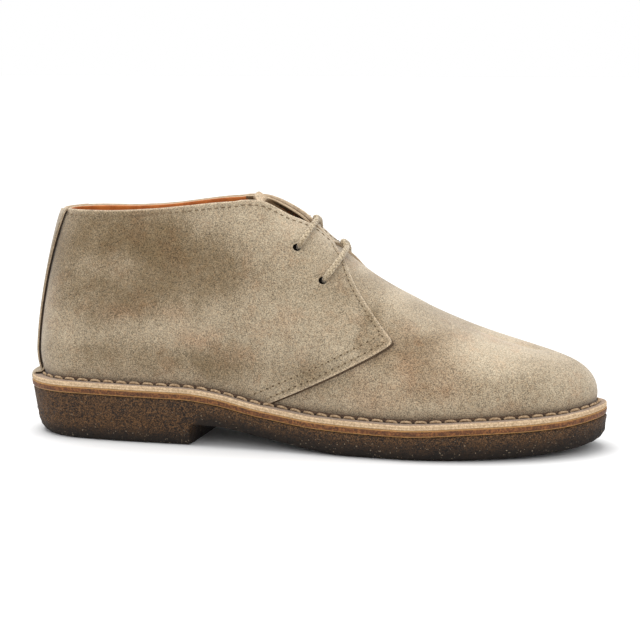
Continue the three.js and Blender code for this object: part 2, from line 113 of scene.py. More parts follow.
QUARTER_FRONT = columns("x z", [
    (164.5, 96.2), (168.5, 92), (173.5, 85), (179, 78), (184.5, 71.5), (190, 65), (199.3, 55.3)])
QUARTER_LOW = columns("x z", [
    (134.6, 22.2), (149, 28.6), (164, 35.8), (178, 43), (190.5, 49.8), (199.3, 55.3)])
EYELETS = {"upper": (147.5, 0.63), "lower": (162, 0.555)}
print("tables:", len(SECTIONS["share"]), "sections over", LENGTH, "mm")

# %% [markdown]
# A drawn curve between the rows has to be smooth and must never swing past them. A cubic whose
# slopes are the harmonic mean of the steps beside them does both.

# %% Curves through the tables


def hermite(at, value, slope, a):
    """A cubic through values, or points, that stand at given places and have given slopes."""
    i = np.clip(np.searchsorted(at, a, side="right") - 1, 0, len(at) - 2)
    width = at[i + 1] - at[i]
    s = (a - at[i]) / width
    if value.ndim > 1:
        width, s = width[:, None], s[:, None]
    return (value[i] * (1 + 2 * s) * (1 - s) ** 2 + slope[i] * width * s * (1 - s) ** 2
            + value[i + 1] * s * s * (3 - 2 * s) + slope[i + 1] * width * s * s * (s - 1))


def smooth_curve(at, value):
    """A function that draws a smooth curve through the rows of a table."""
    step = np.diff(value) / np.diff(at)
    slope = np.empty_like(value)
    slope[0], slope[-1] = step[0], step[-1]
    before, after = step[:-1], step[1:]
    same = before * after > 0
    slope[1:-1] = np.where(same, 2 * before * after / np.where(same, before + after, 1), 0)
    return lambda a: hermite(at, value, slope, np.clip(a, at[0], at[-1]))


def smoothstep(x, low, high):
    """0 below the low value, 1 above the high one and a soft step between them."""
    s = np.clip((x - low) / (high - low), 0, 1)
    return s * s * (3 - 2 * s)


def power(value, exponent):
    """A power that takes the faint negatives of rounding as 0."""
    return np.maximum(value, 0) ** exponent


def settled(values, width, loop=False):
    """Values on an even grid, averaged with their neighbours by a bell of that many steps."""
    reach = int(3 * width)
    bell = np.exp(-0.5 * (np.arange(-reach, reach + 1) / width) ** 2)
    padded = np.pad(values, reach, mode="wrap" if loop else "reflect")
    return np.convolve(padded, bell / bell.sum(), mode="valid")


seat = smooth_curve(SEAT["x"], SEAT["z"])
tread = smooth_curve(TREAD["x"], TREAD["z"])
collar = smooth_curve(COLLAR["x"], COLLAR["z"])
print("seat at the heel and the ball:", round(float(seat(0)), 1), round(float(seat(BALL)), 1))

# %% [markdown]
# The outline of the sole is one closed loop. A place on it is called `around`: 0 at the back of
# the heel, 1 at the toe and 2 at the heel again, with the outer side first. Averaging the loop
# a little takes out the faint corners where the table rows meet the rounded ends.

# %% The outline of the sole
LOOP = np.linspace(0, 2, 4000, endpoint=False)


def raw_outline(around):
    """The outline as drawn: a rounded heel, two sides from the table and a rounded toe."""
    share = 1 - np.abs(1 - around)
    side = np.where(around <= 1, -1, 1)
    half_lateral = smooth_curve(WIDTH["x"], WIDTH["lateral"])
    half_medial = smooth_curve(WIDTH["x"], WIDTH["medial"])
    half = lambda x: np.where(side < 0, half_lateral(x), half_medial(x))
    heel = np.clip(share / HEEL_SHARE, 0, 1) * math.pi / 2
    toe = np.clip((1 - share) / TOE_SHARE, 0, 1) * math.pi / 2
    middle_x = HEEL_ROUND + (BALL - HEEL_ROUND) * (share - HEEL_SHARE) / (1 - HEEL_SHARE - TOE_SHARE)
    heel_x = HEEL_ROUND * (1 - power(np.cos(heel), 2 / HEEL_SQUARE))
    heel_y = side * half(HEEL_ROUND) * power(np.sin(heel), 2 / HEEL_SQUARE)
    toe_x = BALL + (LENGTH - BALL) * power(np.cos(toe), 2 / TOE_SQUARE)
    toe_y = TOE_AXIS + side * (half(BALL) - side * TOE_AXIS) * power(np.sin(toe), 2 / TOE_SQUARE)
    in_heel, in_toe = share < HEEL_SHARE, share > 1 - TOE_SHARE
    x = np.where(in_toe, toe_x, np.where(in_heel, heel_x, middle_x))
    y = np.where(in_toe, toe_y, np.where(in_heel, heel_y, side * half(middle_x)))
    return x, y


raw_x, raw_y = raw_outline(LOOP)
LOOP_X, LOOP_Y = settled(raw_x, 14, loop=True), settled(raw_y, 14, loop=True)
along_x = np.roll(LOOP_X, -3) - np.roll(LOOP_X, 3)
along_y = np.roll(LOOP_Y, -3) - np.roll(LOOP_Y, 3)
OUT_X = settled(along_y / np.hypot(along_x, along_y), 8, loop=True)
OUT_Y = settled(-along_x / np.hypot(along_x, along_y), 8, loop=True)


def on_loop(values, around):
    """Values given along the outline, at any place on it."""
    return np.interp(np.mod(around, 2), np.append(LOOP, 2), np.append(values, values[0]))


def offset_outline(around, distance):
    """The outline moved outwards, as x and y."""
    return (on_loop(LOOP_X, around) + on_loop(OUT_X, around) * distance,
            on_loop(LOOP_Y, around) + on_loop(OUT_Y, around) * distance)


def share_of(around):
    """How far from heel to toe a place on the outline is, on either side."""
    return 1 - np.abs(1 - np.mod(around, 2))


# The back of the heel, the middle of the width and the floor are where the frame's box has them.
low_corner, high_corner = CAD_BOX
SHIFT = np.array([low_corner[0] / MM,
                  (low_corner[1] + high_corner[1]) / 2 / MM - (raw_y.min() + raw_y.max()) / 2,
                  low_corner[2] / MM])
print("outline is", round(float(np.ptp(LOOP_X)), 1), "by", round(float(np.ptp(LOOP_Y)), 1), "mm")

# %% [markdown]
# ## The form
# Each section rises from its foot on the flange, swells a little, and curves over to the ridge
# along the top of the boot. `climb` is -1 at the foot, 0 at the widest point and 1 on the ridge;
# past 1 it comes down on the other side, which lets a facing cross the middle of the boot.

# %% Points and directions on the form
SHARES = np.linspace(0, 1, 1001)
PROFILE = {key: settled(smooth_curve(SECTIONS["share"], SECTIONS[key])(SHARES), 12)
           for key in SECTIONS if key != "share"}


def profile(key, share):
    """A column of the sections' table, at any share."""
    return np.interp(share, SHARES, PROFILE[key])


def form(around, climb):
    """Points of the form in boot millimetres."""
    around, climb = np.broadcast_arrays(np.asarray(around, float), np.asarray(climb, float))
    over = climb > 1
    around = np.mod(np.where(over, 2 - around, around), 2)
    climb = np.where(over, 2 - climb, climb)
    share = share_of(around)
    foot_x, foot_y = offset_outline(around, -profile("margin", share))
    ridge_x = profile("ridge", share)
    ridge_y = TOE_AXIS * smoothstep(ridge_x, 150, 262)
    reach = np.hypot(foot_x - ridge_x, foot_y - ridge_y)
    low = seat(foot_x) + FLANGE
    middle = low + profile("rise", share)
    bulge = profile("bulge", share)
    full = 2 / profile("fullness", share)
    angle = np.abs(climb) * math.pi / 2
    out = np.where(climb >= 0, (reach + bulge) * power(np.cos(angle), full),
                   reach + bulge * (1 - climb * climb))
    z = np.where(climb >= 0, middle + (profile("crest", share) - middle) * power(np.sin(angle), full),
                 middle + (middle - low) * climb)
    part = out / reach
    return np.stack([ridge_x + (foot_x - ridge_x) * part, ridge_y + (foot_y - ridge_y) * part, z], -1)


def normal(around, climb, step=0.004):
    """Outward direction of the form."""
    along = form(around + step, climb) - form(around - step, climb)
    up = form(around, climb + step) - form(around, climb - step)
    out = np.cross(along, up)
    size = np.linalg.norm(out, axis=-1, keepdims=True)
    return np.where(size > 1e-9, out / np.maximum(size, 1e-9), [0.0, 0.0, 1.0])


def lifted(around, climb, lift):
    """Points that stand off the form by a distance."""
    return form(around, climb) + normal(around, climb) * np.asarray(lift)[..., None]


def around_of(side, share):
    """Place on the outline, for a side and a share."""
    return share if side < 0 else 2 - share


def locate(side, targets, axes, share, climb):
    """Share and climb at which the form passes points given in two of x, y and z."""
    targets = np.asarray(targets, float)
    share, climb = np.full(len(targets), float(share)), np.full(len(targets), float(climb))
    here = lambda s, c: form(around_of(side, s), c)[..., axes]
    for _ in range(60):  # Newton's steps, none of them longer than the limits below
        miss = targets - here(share, climb)
        by_share = (here(share + 1e-4, climb) - here(share - 1e-4, climb)) / 2e-4
        by_climb = (here(share, climb + 1e-4) - here(share, climb - 1e-4)) / 2e-4
        spread = by_share[:, 0] * by_climb[:, 1] - by_share[:, 1] * by_climb[:, 0]
        spread = np.where(np.abs(spread) < 1e-6, 1e-6, spread)
        more_share = (miss[:, 0] * by_climb[:, 1] - miss[:, 1] * by_climb[:, 0]) / spread
        more_climb = (miss[:, 1] * by_share[:, 0] - miss[:, 0] * by_share[:, 1]) / spread
        share = np.clip(share + np.clip(more_share, -0.03, 0.03), 0.002, 0.998)
        climb = np.clip(climb + np.clip(more_climb, -0.06, 0.06), -1, 1.4)
    return share, climb


print("top of the instep:", np.round(form(0.55, 1.0), 1))

# %% [markdown]
# ## From points to objects
# Big sheets are easiest as grids of points joined by quads: the grid lines follow the piece, and
# a finer grid only needs a smaller cell. The helpers below turn rows of points into a mesh, give
# it its finishes, and let it ride with the frame.

# %% Mesh helpers


def world(points):
    """Boot millimetres to metres in the frame."""
    return (np.asarray(points, float) + SHIFT) * MM


def add_mesh(name, points, faces, finishes, picks=None, marks=None):
    """An object from points and faces; picks number the finishes, marks are values for shading."""
    mesh = bpy.data.meshes.new(name)
    mesh.from_pydata(world(points).tolist(), [], [tuple(map(int, face)) for face in faces])
    mesh.polygons.foreach_set("use_smooth", [True] * len(mesh.polygons))
    for finish in finishes:
        mesh.materials.append(finish)
    if picks is not None:
        mesh.polygons.foreach_set("material_index", np.asarray(picks, np.int32))
    for key, values in (marks or {}).items():
        stored = mesh.attributes.new(key, "FLOAT", "POINT")
        stored.data.foreach_set("value", np.ravel(values).astype(np.float32))
    mesh.update()
    piece = bpy.data.objects.new(name, mesh)
    bpy.context.scene.collection.objects.link(piece)
    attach(piece, "root")
    return piece


def grid_faces(rows, count, loop=False, start=0):
    """Quads of a grid of points, rows by count, that may close on itself along its rows."""
    across = np.arange(count if loop else count - 1)
    down = np.arange(rows - 1)[:, None]
    a = start + down * count + across
    b = start + down * count + (across + 1) % count
    return np.stack([a, b, b + count, a + count], -1).reshape(-1, 4)


def spacing(length, cell, edges=(0.3, 0.9)):
    """Places from 0 to 1 along a length, even in the middle and close together at both ends."""
    inner = np.linspace(edges[-1], length - edges[-1], max(int(length / cell), 2))
    near = np.array([0, *edges[:-1]])
    return np.concatenate([near, inner, length - near[::-1]]) / length


print("a grid of 3 by 4 points has", len(grid_faces(3, 4)), "quads")

# %% [markdown]
# Thread, cord and seams follow lines of points. These helpers measure a line, find even places
# on it, and lay tubes along many short lines at once, because hundreds of stitches as objects
# of their own would be slow.

# %% Lines and tubes


def lengths(points):
    """Distance along a line of points, at each of them."""
    return np.concatenate([[0], np.cumsum(np.linalg.norm(np.diff(points, axis=0), axis=1))])


def walk(points, pitch):
    """Middles of even steps that fill a line, as fractions of point numbers."""
    length = lengths(points)
    count = max(int(round(length[-1] / pitch)), 1)
    return np.interp((np.arange(count) + 0.5) * length[-1] / count, length, np.arange(len(points)))


def take(values, where):
    """Values of a table of points at fractional point numbers."""
    i = np.clip(np.floor(where).astype(int), 0, len(values) - 2)
    s = (where - i)[..., None]
    return values[i] * (1 - s) + values[i + 1] * s


def evenly(step, points, *others):
    """A line of points again, at even steps, with any other values of its points."""
    length = lengths(points)
    where = np.interp(np.arange(0, length[-1], step), length, np.arange(len(points)))
    return [take(values, where) for values in (points, *others)]


def tubes(paths, normals, radius, sides=6, shape=None, flat=1.0):
    """Closed tubes along many short paths at once, as points and faces."""
    count, steps = paths.shape[:2]
    shape = np.ones(steps) if shape is None else np.asarray(shape)
    along = np.gradient(paths, axis=1)
    along /= np.linalg.norm(along, axis=-1, keepdims=True)
    beside = np.cross(along, normals)
    beside /= np.linalg.norm(beside, axis=-1, keepdims=True)
    up = np.cross(beside, along)
    turn = np.linspace(0, 2 * math.pi, sides, endpoint=False)
    size = (radius * shape)[None, :, None, None]
    ring = (beside[:, :, None] * np.cos(turn)[:, None] + up[:, :, None] * np.sin(turn)[:, None] * flat)
    points = (paths[:, :, None] + ring * size).reshape(-1, 3)
    one = grid_faces(steps, sides, loop=True)
    faces = [tuple(f) for f in (one[None] + (np.arange(count) * steps * sides)[:, None, None]).reshape(-1, 4)]
    for i in range(count):
        first = i * steps * sides
        faces.append(tuple(range(first, first + sides))[::-1])
        faces.append(tuple(range(first + (steps - 1) * sides, first + steps * sides)))
    return points, faces


print("a line of 10 mm has", len(walk(np.array([[0, 0, 0], [10.0, 0, 0]]), 3.4)), "steps of about 3.4 mm")

# %% [markdown]
# ## Finishes
# Materials are graphs of shader nodes. Writing them as sums and products is easier to read than
# wiring boxes, so one small class stands for a socket and turns Python operators into Math nodes.

# %% Shader maths


class Socket:
    """An output of a shader node that can be used in expressions."""

    def __init__(self, finish, link):
        self.finish, self.link = finish, link

    def math(self, operation, *values):
        return self.finish.node("ShaderNodeMath", {"operation": operation}, list(values))

    def __add__(self, other):
        return self.math("ADD", self, other)

    def __sub__(self, other):
        return self.math("SUBTRACT", self, other)

    def __rsub__(self, other):
        return self.math("SUBTRACT", other, self)

    def __mul__(self, other):
        return self.math("MULTIPLY", self, other)

    __radd__, __rmul__ = __add__, __mul__

    def capped(self, most):
        return self.math("MINIMUM", self, most)

    def ease(self, low, high, start=0.0, end=1.0):
        """A soft step from start to end as the value goes from low to high."""
        return self.finish.node("ShaderNodeMapRange", {"interpolation_type": "SMOOTHSTEP"},
                                {"Value": self, "From Min": low, "From Max": high,
                                 "To Min": start, "To Max": end})


print("a socket can be added, subtracted, multiplied, capped and eased")

# %% [markdown]
# A finish holds one material with its Principled shader. Its helpers add the nodes that leather,
# rubber, thread and cord need, with sizes in millimetres, and say what the shader gets.

# %% A finish


class Finish:
    """A material with a Principled shader and helpers that add nodes to it."""

    def __init__(self, name, **settings):
        self.material = bpy.data.materials.new(name)
        self.material.use_nodes = True
        self.tree = self.material.node_tree
        self.tree.nodes.clear()
        output = self.tree.nodes.new("ShaderNodeOutputMaterial")
        self.shader = self.tree.nodes.new("ShaderNodeBsdfPrincipled")
        self.tree.links.new(self.shader.outputs[0], output.inputs[0])
        for key, value in settings.items():
            self.shader.inputs[key.replace("_", " ")].default_value = value
        self.place = self.node("ShaderNodeTexCoord", output="Object")

    def node(self, kind, settings=None, inputs=None, output=0):
        """Any node, from its type, its settings and the values or links of its sockets."""
        made = self.tree.nodes.new(kind)
        for key, value in (settings or {}).items():
            setattr(made, key, value)
        pairs = inputs.items() if isinstance(inputs, dict) else enumerate(inputs or [])
        for key, value in pairs:
            self.feed(made.inputs[key], value)
        return Socket(self, made.outputs[output])

    def feed(self, socket, value):
        if isinstance(value, Socket):
            self.tree.links.new(value.link, socket)
        else:
            socket.default_value = value

    def vector(self, operation, *values, output=0):
        """Vector Math, for places and colours."""
        return self.node("ShaderNodeVectorMath", {"operation": operation}, values, output)

    def mix(self, factor, a, b, blend="MIX"):
        """Two colours mixed."""
        return self.node("ShaderNodeMix", {"data_type": "RGBA", "blend_type": blend},
                         {0: factor, 6: a, 7: b}, output=2)

    def noise(self, size, detail=2.0, rough=0.5, place=None):
        """Cloudy pattern from 0 to 1 whose features are about that many millimetres across."""
        return self.node("ShaderNodeTexNoise", None,
                         {"Vector": place or self.place, "Scale": 1 / (size * MM), "Detail": detail,
                          "Roughness": rough})

    def cells(self, size, place=None):
        """Distance from the middle of the nearest of many cells of about that size."""
        return self.node("ShaderNodeTexVoronoi", None,
                         {"Vector": place or self.place, "Scale": 1 / (size * MM)})

    def mark(self, name):
        """A value stored on the mesh's points."""
        return self.node("ShaderNodeAttribute", {"attribute_name": name}, output="Fac")

    def patch(self, centre, size, place):
        """Soft oval, in the side view, centred on a station and height in boot millimetres."""
        x, _, z = world([centre[0], 0, centre[1]])
        shifted = self.vector("SUBTRACT", place, (x, 0, z))
        scaled = self.vector("MULTIPLY", shifted, (1 / (size[0] * MM), 0, 1 / (size[1] * MM)))
        return self.vector("LENGTH", scaled, output="Value").ease(1.0, 0.0)

    def relief(self, height, depth):
        """Bumps of that depth in millimetres, from a value of 0 to 1."""
        bump = self.node("ShaderNodeBump", None, {"Height": height, "Distance": depth * MM})
        self.feed(self.shader.inputs["Normal"], bump)

    def colour(self, value):
        self.feed(self.shader.inputs["Base Color"], value)

    def roughness(self, value):
        self.feed(self.shader.inputs["Roughness"], value)


def rgb(red, green, blue):
    """A colour as painters count it, from 0 to 255, for the shader."""
    line = lambda v: v / 12.92 if v <= 0.04045 else ((v + 0.055) / 1.055) ** 2.4
    return (*(line(v / 255) for v in (red, green, blue)), 1.0)


print("middle grey for the shader:", np.round(rgb(128, 128, 128), 3))

# %% [markdown]
# Suede is the split side of leather, brushed so that its fibres stand up. It has no shine, and it is
# mottled where the nap lies in different directions. Its colour also carries painted shade at the foot
# of the wall and just below the quarters' edges. The tone has three scales: soft clouds and listed
# patches over the boot, a small mottle, and a grain finer than a millimetre that also gives the
# bumps. A few of the patches are painted highlight, and one is painted shade.

# %% Suede
# Painted highlight: the lightening patches at (149, 112), (181, 88), (199, 76) and (250, 50), near the lacing
# and along the top of the vamp and toe. Painted shade: the dark patch at (187, 64), in the hollow just before
# the quarter's front edge.
TONES = [  # station, height, half length, half height, darkness
    (60, 106, 62, 24, 0.44), (90, 90, 56, 25, 0.39), (20, 90, 26, 38, 0.32), (118, 84, 36, 22, 0.12),
    (60, 42, 70, 16, 0.26), (110, 40, 44, 14, 0.26), (138, 62, 34, 18, 0.02), (149, 112, 24, 14, -0.34),
    (143, 90, 26, 15, 0.02), (62, 72, 60, 20, 0.36), (180, 76, 22, 18, 0.12), (210, 53, 32, 17, 0.30),
    (218, 38, 28, 12, 0.12), (187, 64, 9, 12, 0.34), (250, 50, 40, 14, -0.36), (243, 34, 26, 12, 0.05),
    (292, 34, 16, 16, -0.14), (164, 38, 32, 14, 0.2), (200, 27, 60, 9, -0.03),
    (181, 88, 12, 8, -0.22), (199, 76, 15, 8, -0.24)]
BLUSH = [  # the same four, and how pink
    (58, 68, 20, 9, 0.5), (97, 53, 18, 9, 0.55), (120, 44, 18, 8, 0.3), (210, 50, 34, 18, 0.3),
    (222, 36, 34, 12, 0.3), (84, 64, 16, 8, 0.35), (190, 30, 26, 10, 0.4)]


def suede(name, light, dark, blush, tones=(), spots=(), shade=0.6, sheen=0.25, gloss=0.15,
          low=rgb(72, 54, 42)):
    """Brushed leather; its mark "low" paints shade on it, and its mark "rim" makes its cut rim paler."""
    finish = Finish(name, Sheen_Weight=sheen, Sheen_Roughness=0.5, Specular_IOR_Level=gloss)
    drift = finish.node("ShaderNodeTexNoise", None,
                        {"Vector": finish.place, "Scale": 42.0, "Detail": 2.0}, output="Color")
    drift = finish.vector("MULTIPLY_ADD", drift, (0.018, 0, 0.018), (-0.009, 0, -0.009))
    warped = finish.vector("ADD", finish.place, drift)  # the patches get wavy borders
    tone = (finish.noise(24, 4.0, 0.6) - 0.5) * 0.5 + (finish.noise(4, 3.0, 0.65) - 0.5) * 0.34 + 0.42
    for x, z, length, height, amount in tones:
        tone = tone + finish.patch((x, z), (length, height), warped) * amount
    pink = finish.noise(16, 3.0, 0.6).ease(0.5, 0.72) * 0.35
    for x, z, length, height, amount in spots:
        pink = pink + finish.patch((x, z), (length, height), warped) * amount
    colour = finish.mix(tone.ease(0.0, 1.0), light, dark)
    rosy = finish.mix(0.8, colour, blush, "MULTIPLY")
    colour = finish.mix(pink.capped(0.8), colour, rosy)
    warm = finish.mix(1.0, colour, rgb(255, 228, 206), "MULTIPLY")
    colour = finish.mix(finish.noise(1.3, 2.0, 0.6).ease(0.46, 0.68) * 0.26, colour, warm)
    # Painted shade: the mark "low", times shade, mixes in the dark colour low.
    colour = finish.mix(finish.mark("low") * shade, colour, low)
    colour = finish.mix(finish.mark("rim") * 0.5, colour, rgb(202, 182, 154))
    fibre = finish.noise(0.52, 1.0, 0.5)
    speck = finish.noise(1.0, 2.0, 0.7)
    nap = (fibre.ease(0.28, 0.72) - 0.5) * 0.86 + (speck.ease(0.3, 0.7) - 0.5) * 0.36
    nap = nap * tone.ease(-0.1, 0.7, 0.66, 1.12)
    colour = finish.node("ShaderNodeVectorMath", {"operation": "SCALE"}, {0: colour, "Scale": nap + 1.0})
    finish.colour(colour)
    finish.roughness(fibre * 0.12 + 0.86)
    finish.relief(fibre * 0.6 + speck * 0.5, 0.34)
    return finish.material


SUEDE = suede("sand_suede", rgb(175, 161, 138), rgb(107, 90, 65), rgb(255, 224, 206), TONES, BLUSH)
# The flange suede takes a strong painted shade from the mark "low" where it meets the wall.
FLANGE_SUEDE = suede("flange_suede", rgb(158, 134, 110), rgb(112, 90, 70), rgb(250, 216, 198), shade=0.85)
# The tongue suede is paler than the sand suede, a painted highlight on its lit tip; its mark "low" paints
# shade on the rest, deep between the facings.
TONGUE_SUEDE = suede("tongue_suede", rgb(196, 178, 154), rgb(156, 136, 112), rgb(250, 222, 206),
                     shade=0.97, sheen=0.0, gloss=0.0, low=rgb(64, 47, 30))
print("suede nodes:", len(SUEDE.node_tree.nodes))

# %% [markdown]
# A raw edge shows the inside of the leather: pale, fibrous and a little pink. The lining is a
# smooth tan calf with a low gloss and fine creases. The midsole is stained leather in layers, so
# its pattern is stretched along the sole.

# %% Cut edges, lining and midsole


def plain_leather(name, light, dark, size, rough, bump):
    """Leather with clouds and a fine grain; its colour and grain are returned for more layers."""
    finish = Finish(name, Specular_IOR_Level=0.35)
    cloud = finish.noise(size, 4.0, 0.6)
    grain = finish.noise(0.6, 2.0, 0.6)
    colour = finish.mix((cloud * 0.75 + grain * 0.35).ease(0.3, 0.8), light, dark)
    finish.colour(colour)
    finish.roughness(cloud * 0.2 + rough)
    finish.relief(grain * 0.7 + finish.cells(0.9) * 0.3, bump)
    return finish, colour, grain


def stained_leather(name, light, dark, size, rough, bump):
    """Plain leather with paler fibres, dark streaks and the pale line of the mark "seam"."""
    finish, colour, grain = plain_leather(name, light, dark, size, rough, bump)
    fibres = finish.noise(1.1, 2.0, 0.7).ease(0.46, 0.6) * 0.5
    colour = finish.mix(fibres, colour, rgb(166, 108, 56))
    flat = finish.vector("MULTIPLY", finish.place, (1, 1, 7))
    streaks = finish.noise(7, 3.0, 0.6, place=flat).ease(0.42, 0.7) * 0.7
    colour = finish.mix(streaks, colour, rgb(62, 34, 16))
    finish.colour(finish.mix(finish.mark("seam") * (grain * 0.8 + 0.35), colour, rgb(208, 162, 100)))
    return finish.material


LEATHERS = {  # light and dark colour, size of the clouds, roughness, depth of the grain
    "cut_edge": (rgb(188, 168, 142), rgb(140, 118, 94), 2.2, 0.8, 0.25),
    "flange_edge": (rgb(220, 193, 158), rgb(160, 134, 104), 1.2, 0.8, 0.35),
    "lining_tan": (rgb(220, 134, 66), rgb(172, 92, 40), 9, 0.42, 0.08),
    "lining_edge": (rgb(192, 172, 144), rgb(156, 134, 108), 2.0, 0.8, 0.15),
    # The dark brown of the facings' backing is painted shade of the throat.
    "facing_shade_brown": (rgb(126, 104, 76), rgb(84, 66, 46), 1.2, 0.8, 0.4),
    "sock_tan": (rgb(196, 130, 72), rgb(150, 92, 44), 14, 0.5, 0.1)}
CUT_EDGE, FLANGE_EDGE, LINING_TAN, LINING_EDGE, FACING_SHADE_BROWN, SOCK_TAN = (
    plain_leather(name, *look)[0].material for name, look in LEATHERS.items())
MIDSOLE_BROWN = stained_leather("midsole_brown", rgb(108, 62, 28), rgb(56, 32, 16), 2.4, 0.5, 0.3)
print("leathers:", *LEATHERS)

# %% [markdown]
# Crepe is raw natural rubber, rolled in crinkled sheets. Its face is pitted and torn, darker
# towards the ground with dirt and painted shade, flecked with pale dust, and honey coloured where a
# clean bit of rubber lets light in.

# %% Crepe


def crepe():
    """Pitted rubber; a mark on the mesh darkens it towards the ground: dirt and painted shade."""
    finish = Finish("crepe_rubber", Specular_IOR_Level=0.22)
    flat = finish.vector("MULTIPLY", finish.place, (1, 1, 1.6))
    cloud = finish.noise(11, 4.0, 0.62, place=flat)
    bits = finish.noise(1.7, 3.0, 0.75, place=flat)
    fine = finish.noise(0.55, 2.0, 0.7)
    pits = finish.cells(2.2, place=flat).ease(0.0, 0.34, 1.0, 0.0)
    dirt_and_shade = finish.mark("dirt_and_shade")
    colour = finish.mix(cloud.ease(0.4, 0.6), rgb(38, 30, 25), rgb(68, 49, 32))
    clean = (bits * 0.6 + fine * 0.5).ease(0.49, 0.64) * (0.85 - dirt_and_shade * 0.75)
    colour = finish.mix(clean, colour, rgb(112, 80, 50))
    colour = finish.mix(pits * 0.5, colour, rgb(34, 27, 21))
    colour = finish.mix(fine.ease(0.4, 0.54, 1.0, 0.0) * 0.85, colour, rgb(20, 15, 12))
    # Dirt and painted shade: darker towards the ground.
    colour = finish.mix(dirt_and_shade * 0.8, colour, rgb(30, 26, 23))
    dust = finish.noise(1.0, 1.0, 0.5).ease(0.68, 0.76) * (dirt_and_shade * 0.5 + 0.3)
    finish.colour(finish.mix(dust, colour, rgb(164, 146, 122)))
    finish.roughness(fine * 0.3 + 0.5 + dirt_and_shade * 0.15)
    finish.relief(bits * 0.5 + fine * 0.4 - pits * 0.6, 0.9)
    return finish.material


CREPE = crepe()
print("crepe nodes:", len(CREPE.node_tree.nodes))

# %% [markdown]
# Thread is twisted, so its colour changes along it. The flange is sewn with thick pale thread
# and the seams with a thin one near the suede's own colour. The holes beside them and the gaps
# under the edges are only seen as shade, so they get painted shade: the same simple finish in
# dark colours.

# %% Threads and painted shade


def thread(name, light, dark):
    """A matt finish with a fine twist."""
    finish = Finish(name, Specular_IOR_Level=0.25)
    twist = finish.noise(0.8, 2.0, 0.6)
    finish.colour(finish.mix(twist.ease(0.3, 0.7), light, dark))
    finish.roughness(twist * 0.2 + 0.7)
    finish.relief(twist, 0.2)
    return finish.material


WELT_THREAD = thread("welt_thread", rgb(190, 164, 132), rgb(142, 116, 88))
SEAM_THREAD = thread("seam_thread", rgb(164, 147, 120), rgb(128, 111, 87))
TAUPE_THREAD = thread("taupe_thread", rgb(130, 112, 88), rgb(96, 80, 60))
BROWN_THREAD = thread("brown_thread", rgb(132, 64, 26), rgb(90, 40, 16))
# Painted shade: the dark finishes of needle holes, the gaps under edges and the eyelet wells.
SEAM_HOLE_SHADE = thread("seam_hole_shade", rgb(98, 80, 58), rgb(68, 54, 38))
HOLE_AND_GAP_SHADE = thread("hole_and_gap_shade", rgb(62, 48, 35), rgb(42, 31, 22))
EDGE_SHADOW = thread("edge_shadow", rgb(84, 66, 48), rgb(58, 45, 32))
EYELET_SHADE = thread("eyelet_shade", rgb(22, 15, 10), rgb(13, 9, 6))
print("welt thread nodes:", len(WELT_THREAD.node_tree.nodes))

# %% [markdown]
# The lace is a round cotton braid. Its strands are geometry, made further down with the cord;
# the finish only adds the fuzz, and painted shade between the strands and near the eyelets.

# %% Lace


def braided():
    """Cotton darkened by a mark on the mesh: painted shade between the strands and near eyelets."""
    finish = Finish("lace_cotton", Sheen_Weight=0.3, Sheen_Roughness=0.5, Specular_IOR_Level=0.15)
    twist = finish.noise(0.9, 2.0, 0.7)
    colour = finish.mix(twist.ease(0.35, 0.65), rgb(202, 185, 156), rgb(140, 122, 95))
    finish.colour(finish.mix(finish.mark("cord_shade") * 0.8, colour, rgb(78, 62, 43)))
    finish.roughness(twist * 0.2 + 0.75)
    finish.relief(twist, 0.3)
    return finish.material


LACE_COTTON = braided()
print("lace nodes:", len(LACE_COTTON.node_tree.nodes))

# %% [markdown]
# ## The quarters
# The two quarters are the sides of the boot. Each is one sheet with four edges: the back seam,
# the top line with the facing, the front edge, and the feather line with the lower edge. Blending
# its four edges over a square, a Coons patch, gives a grid that follows all of them. Working in
# share and climb keeps every point on the form, and the edges are crowded with grid lines so
# that they can be rounded.

# %% Edges of a quarter


def climb_at(side, share, height):
    """Climb at which the form reaches a height that may depend on the station."""
    low, high = np.full(len(share), -1.0), np.full(len(share), 1.0)
    for _ in range(40):
        middle = (low + high) / 2
        point = form(around_of(side, share), middle)
        below = point[:, 2] < height(point[:, 0])
        low, high = np.where(below, middle, low), np.where(below, high, middle)
    return (low + high) / 2


def share_at(side, x, climb):
    """Share at which the form passes a station, at a climb."""
    low, high = np.zeros(np.shape(climb)), np.ones(np.shape(climb))
    for _ in range(40):
        middle = (low + high) / 2
        below = form(around_of(side, middle), climb)[..., 0] < x
        low, high = np.where(below, middle, low), np.where(below, high, middle)
    return (low + high) / 2


def drawn(table, count=90):
    """Points of a curve drawn through a table of stations and heights."""
    x = np.linspace(table["x"][0], table["x"][-1], count)
    return np.stack([x, smooth_curve(table["x"], table["z"])(x)], -1)


def along_path(side, path, places):
    """Share and climb at places from 0 to 1 of the path's real length."""
    length = lengths(form(around_of(side, path[:, 0]), path[:, 1]))
    return np.stack([np.interp(places * length[-1], length, path[:, k]) for k in (0, 1)], -1)


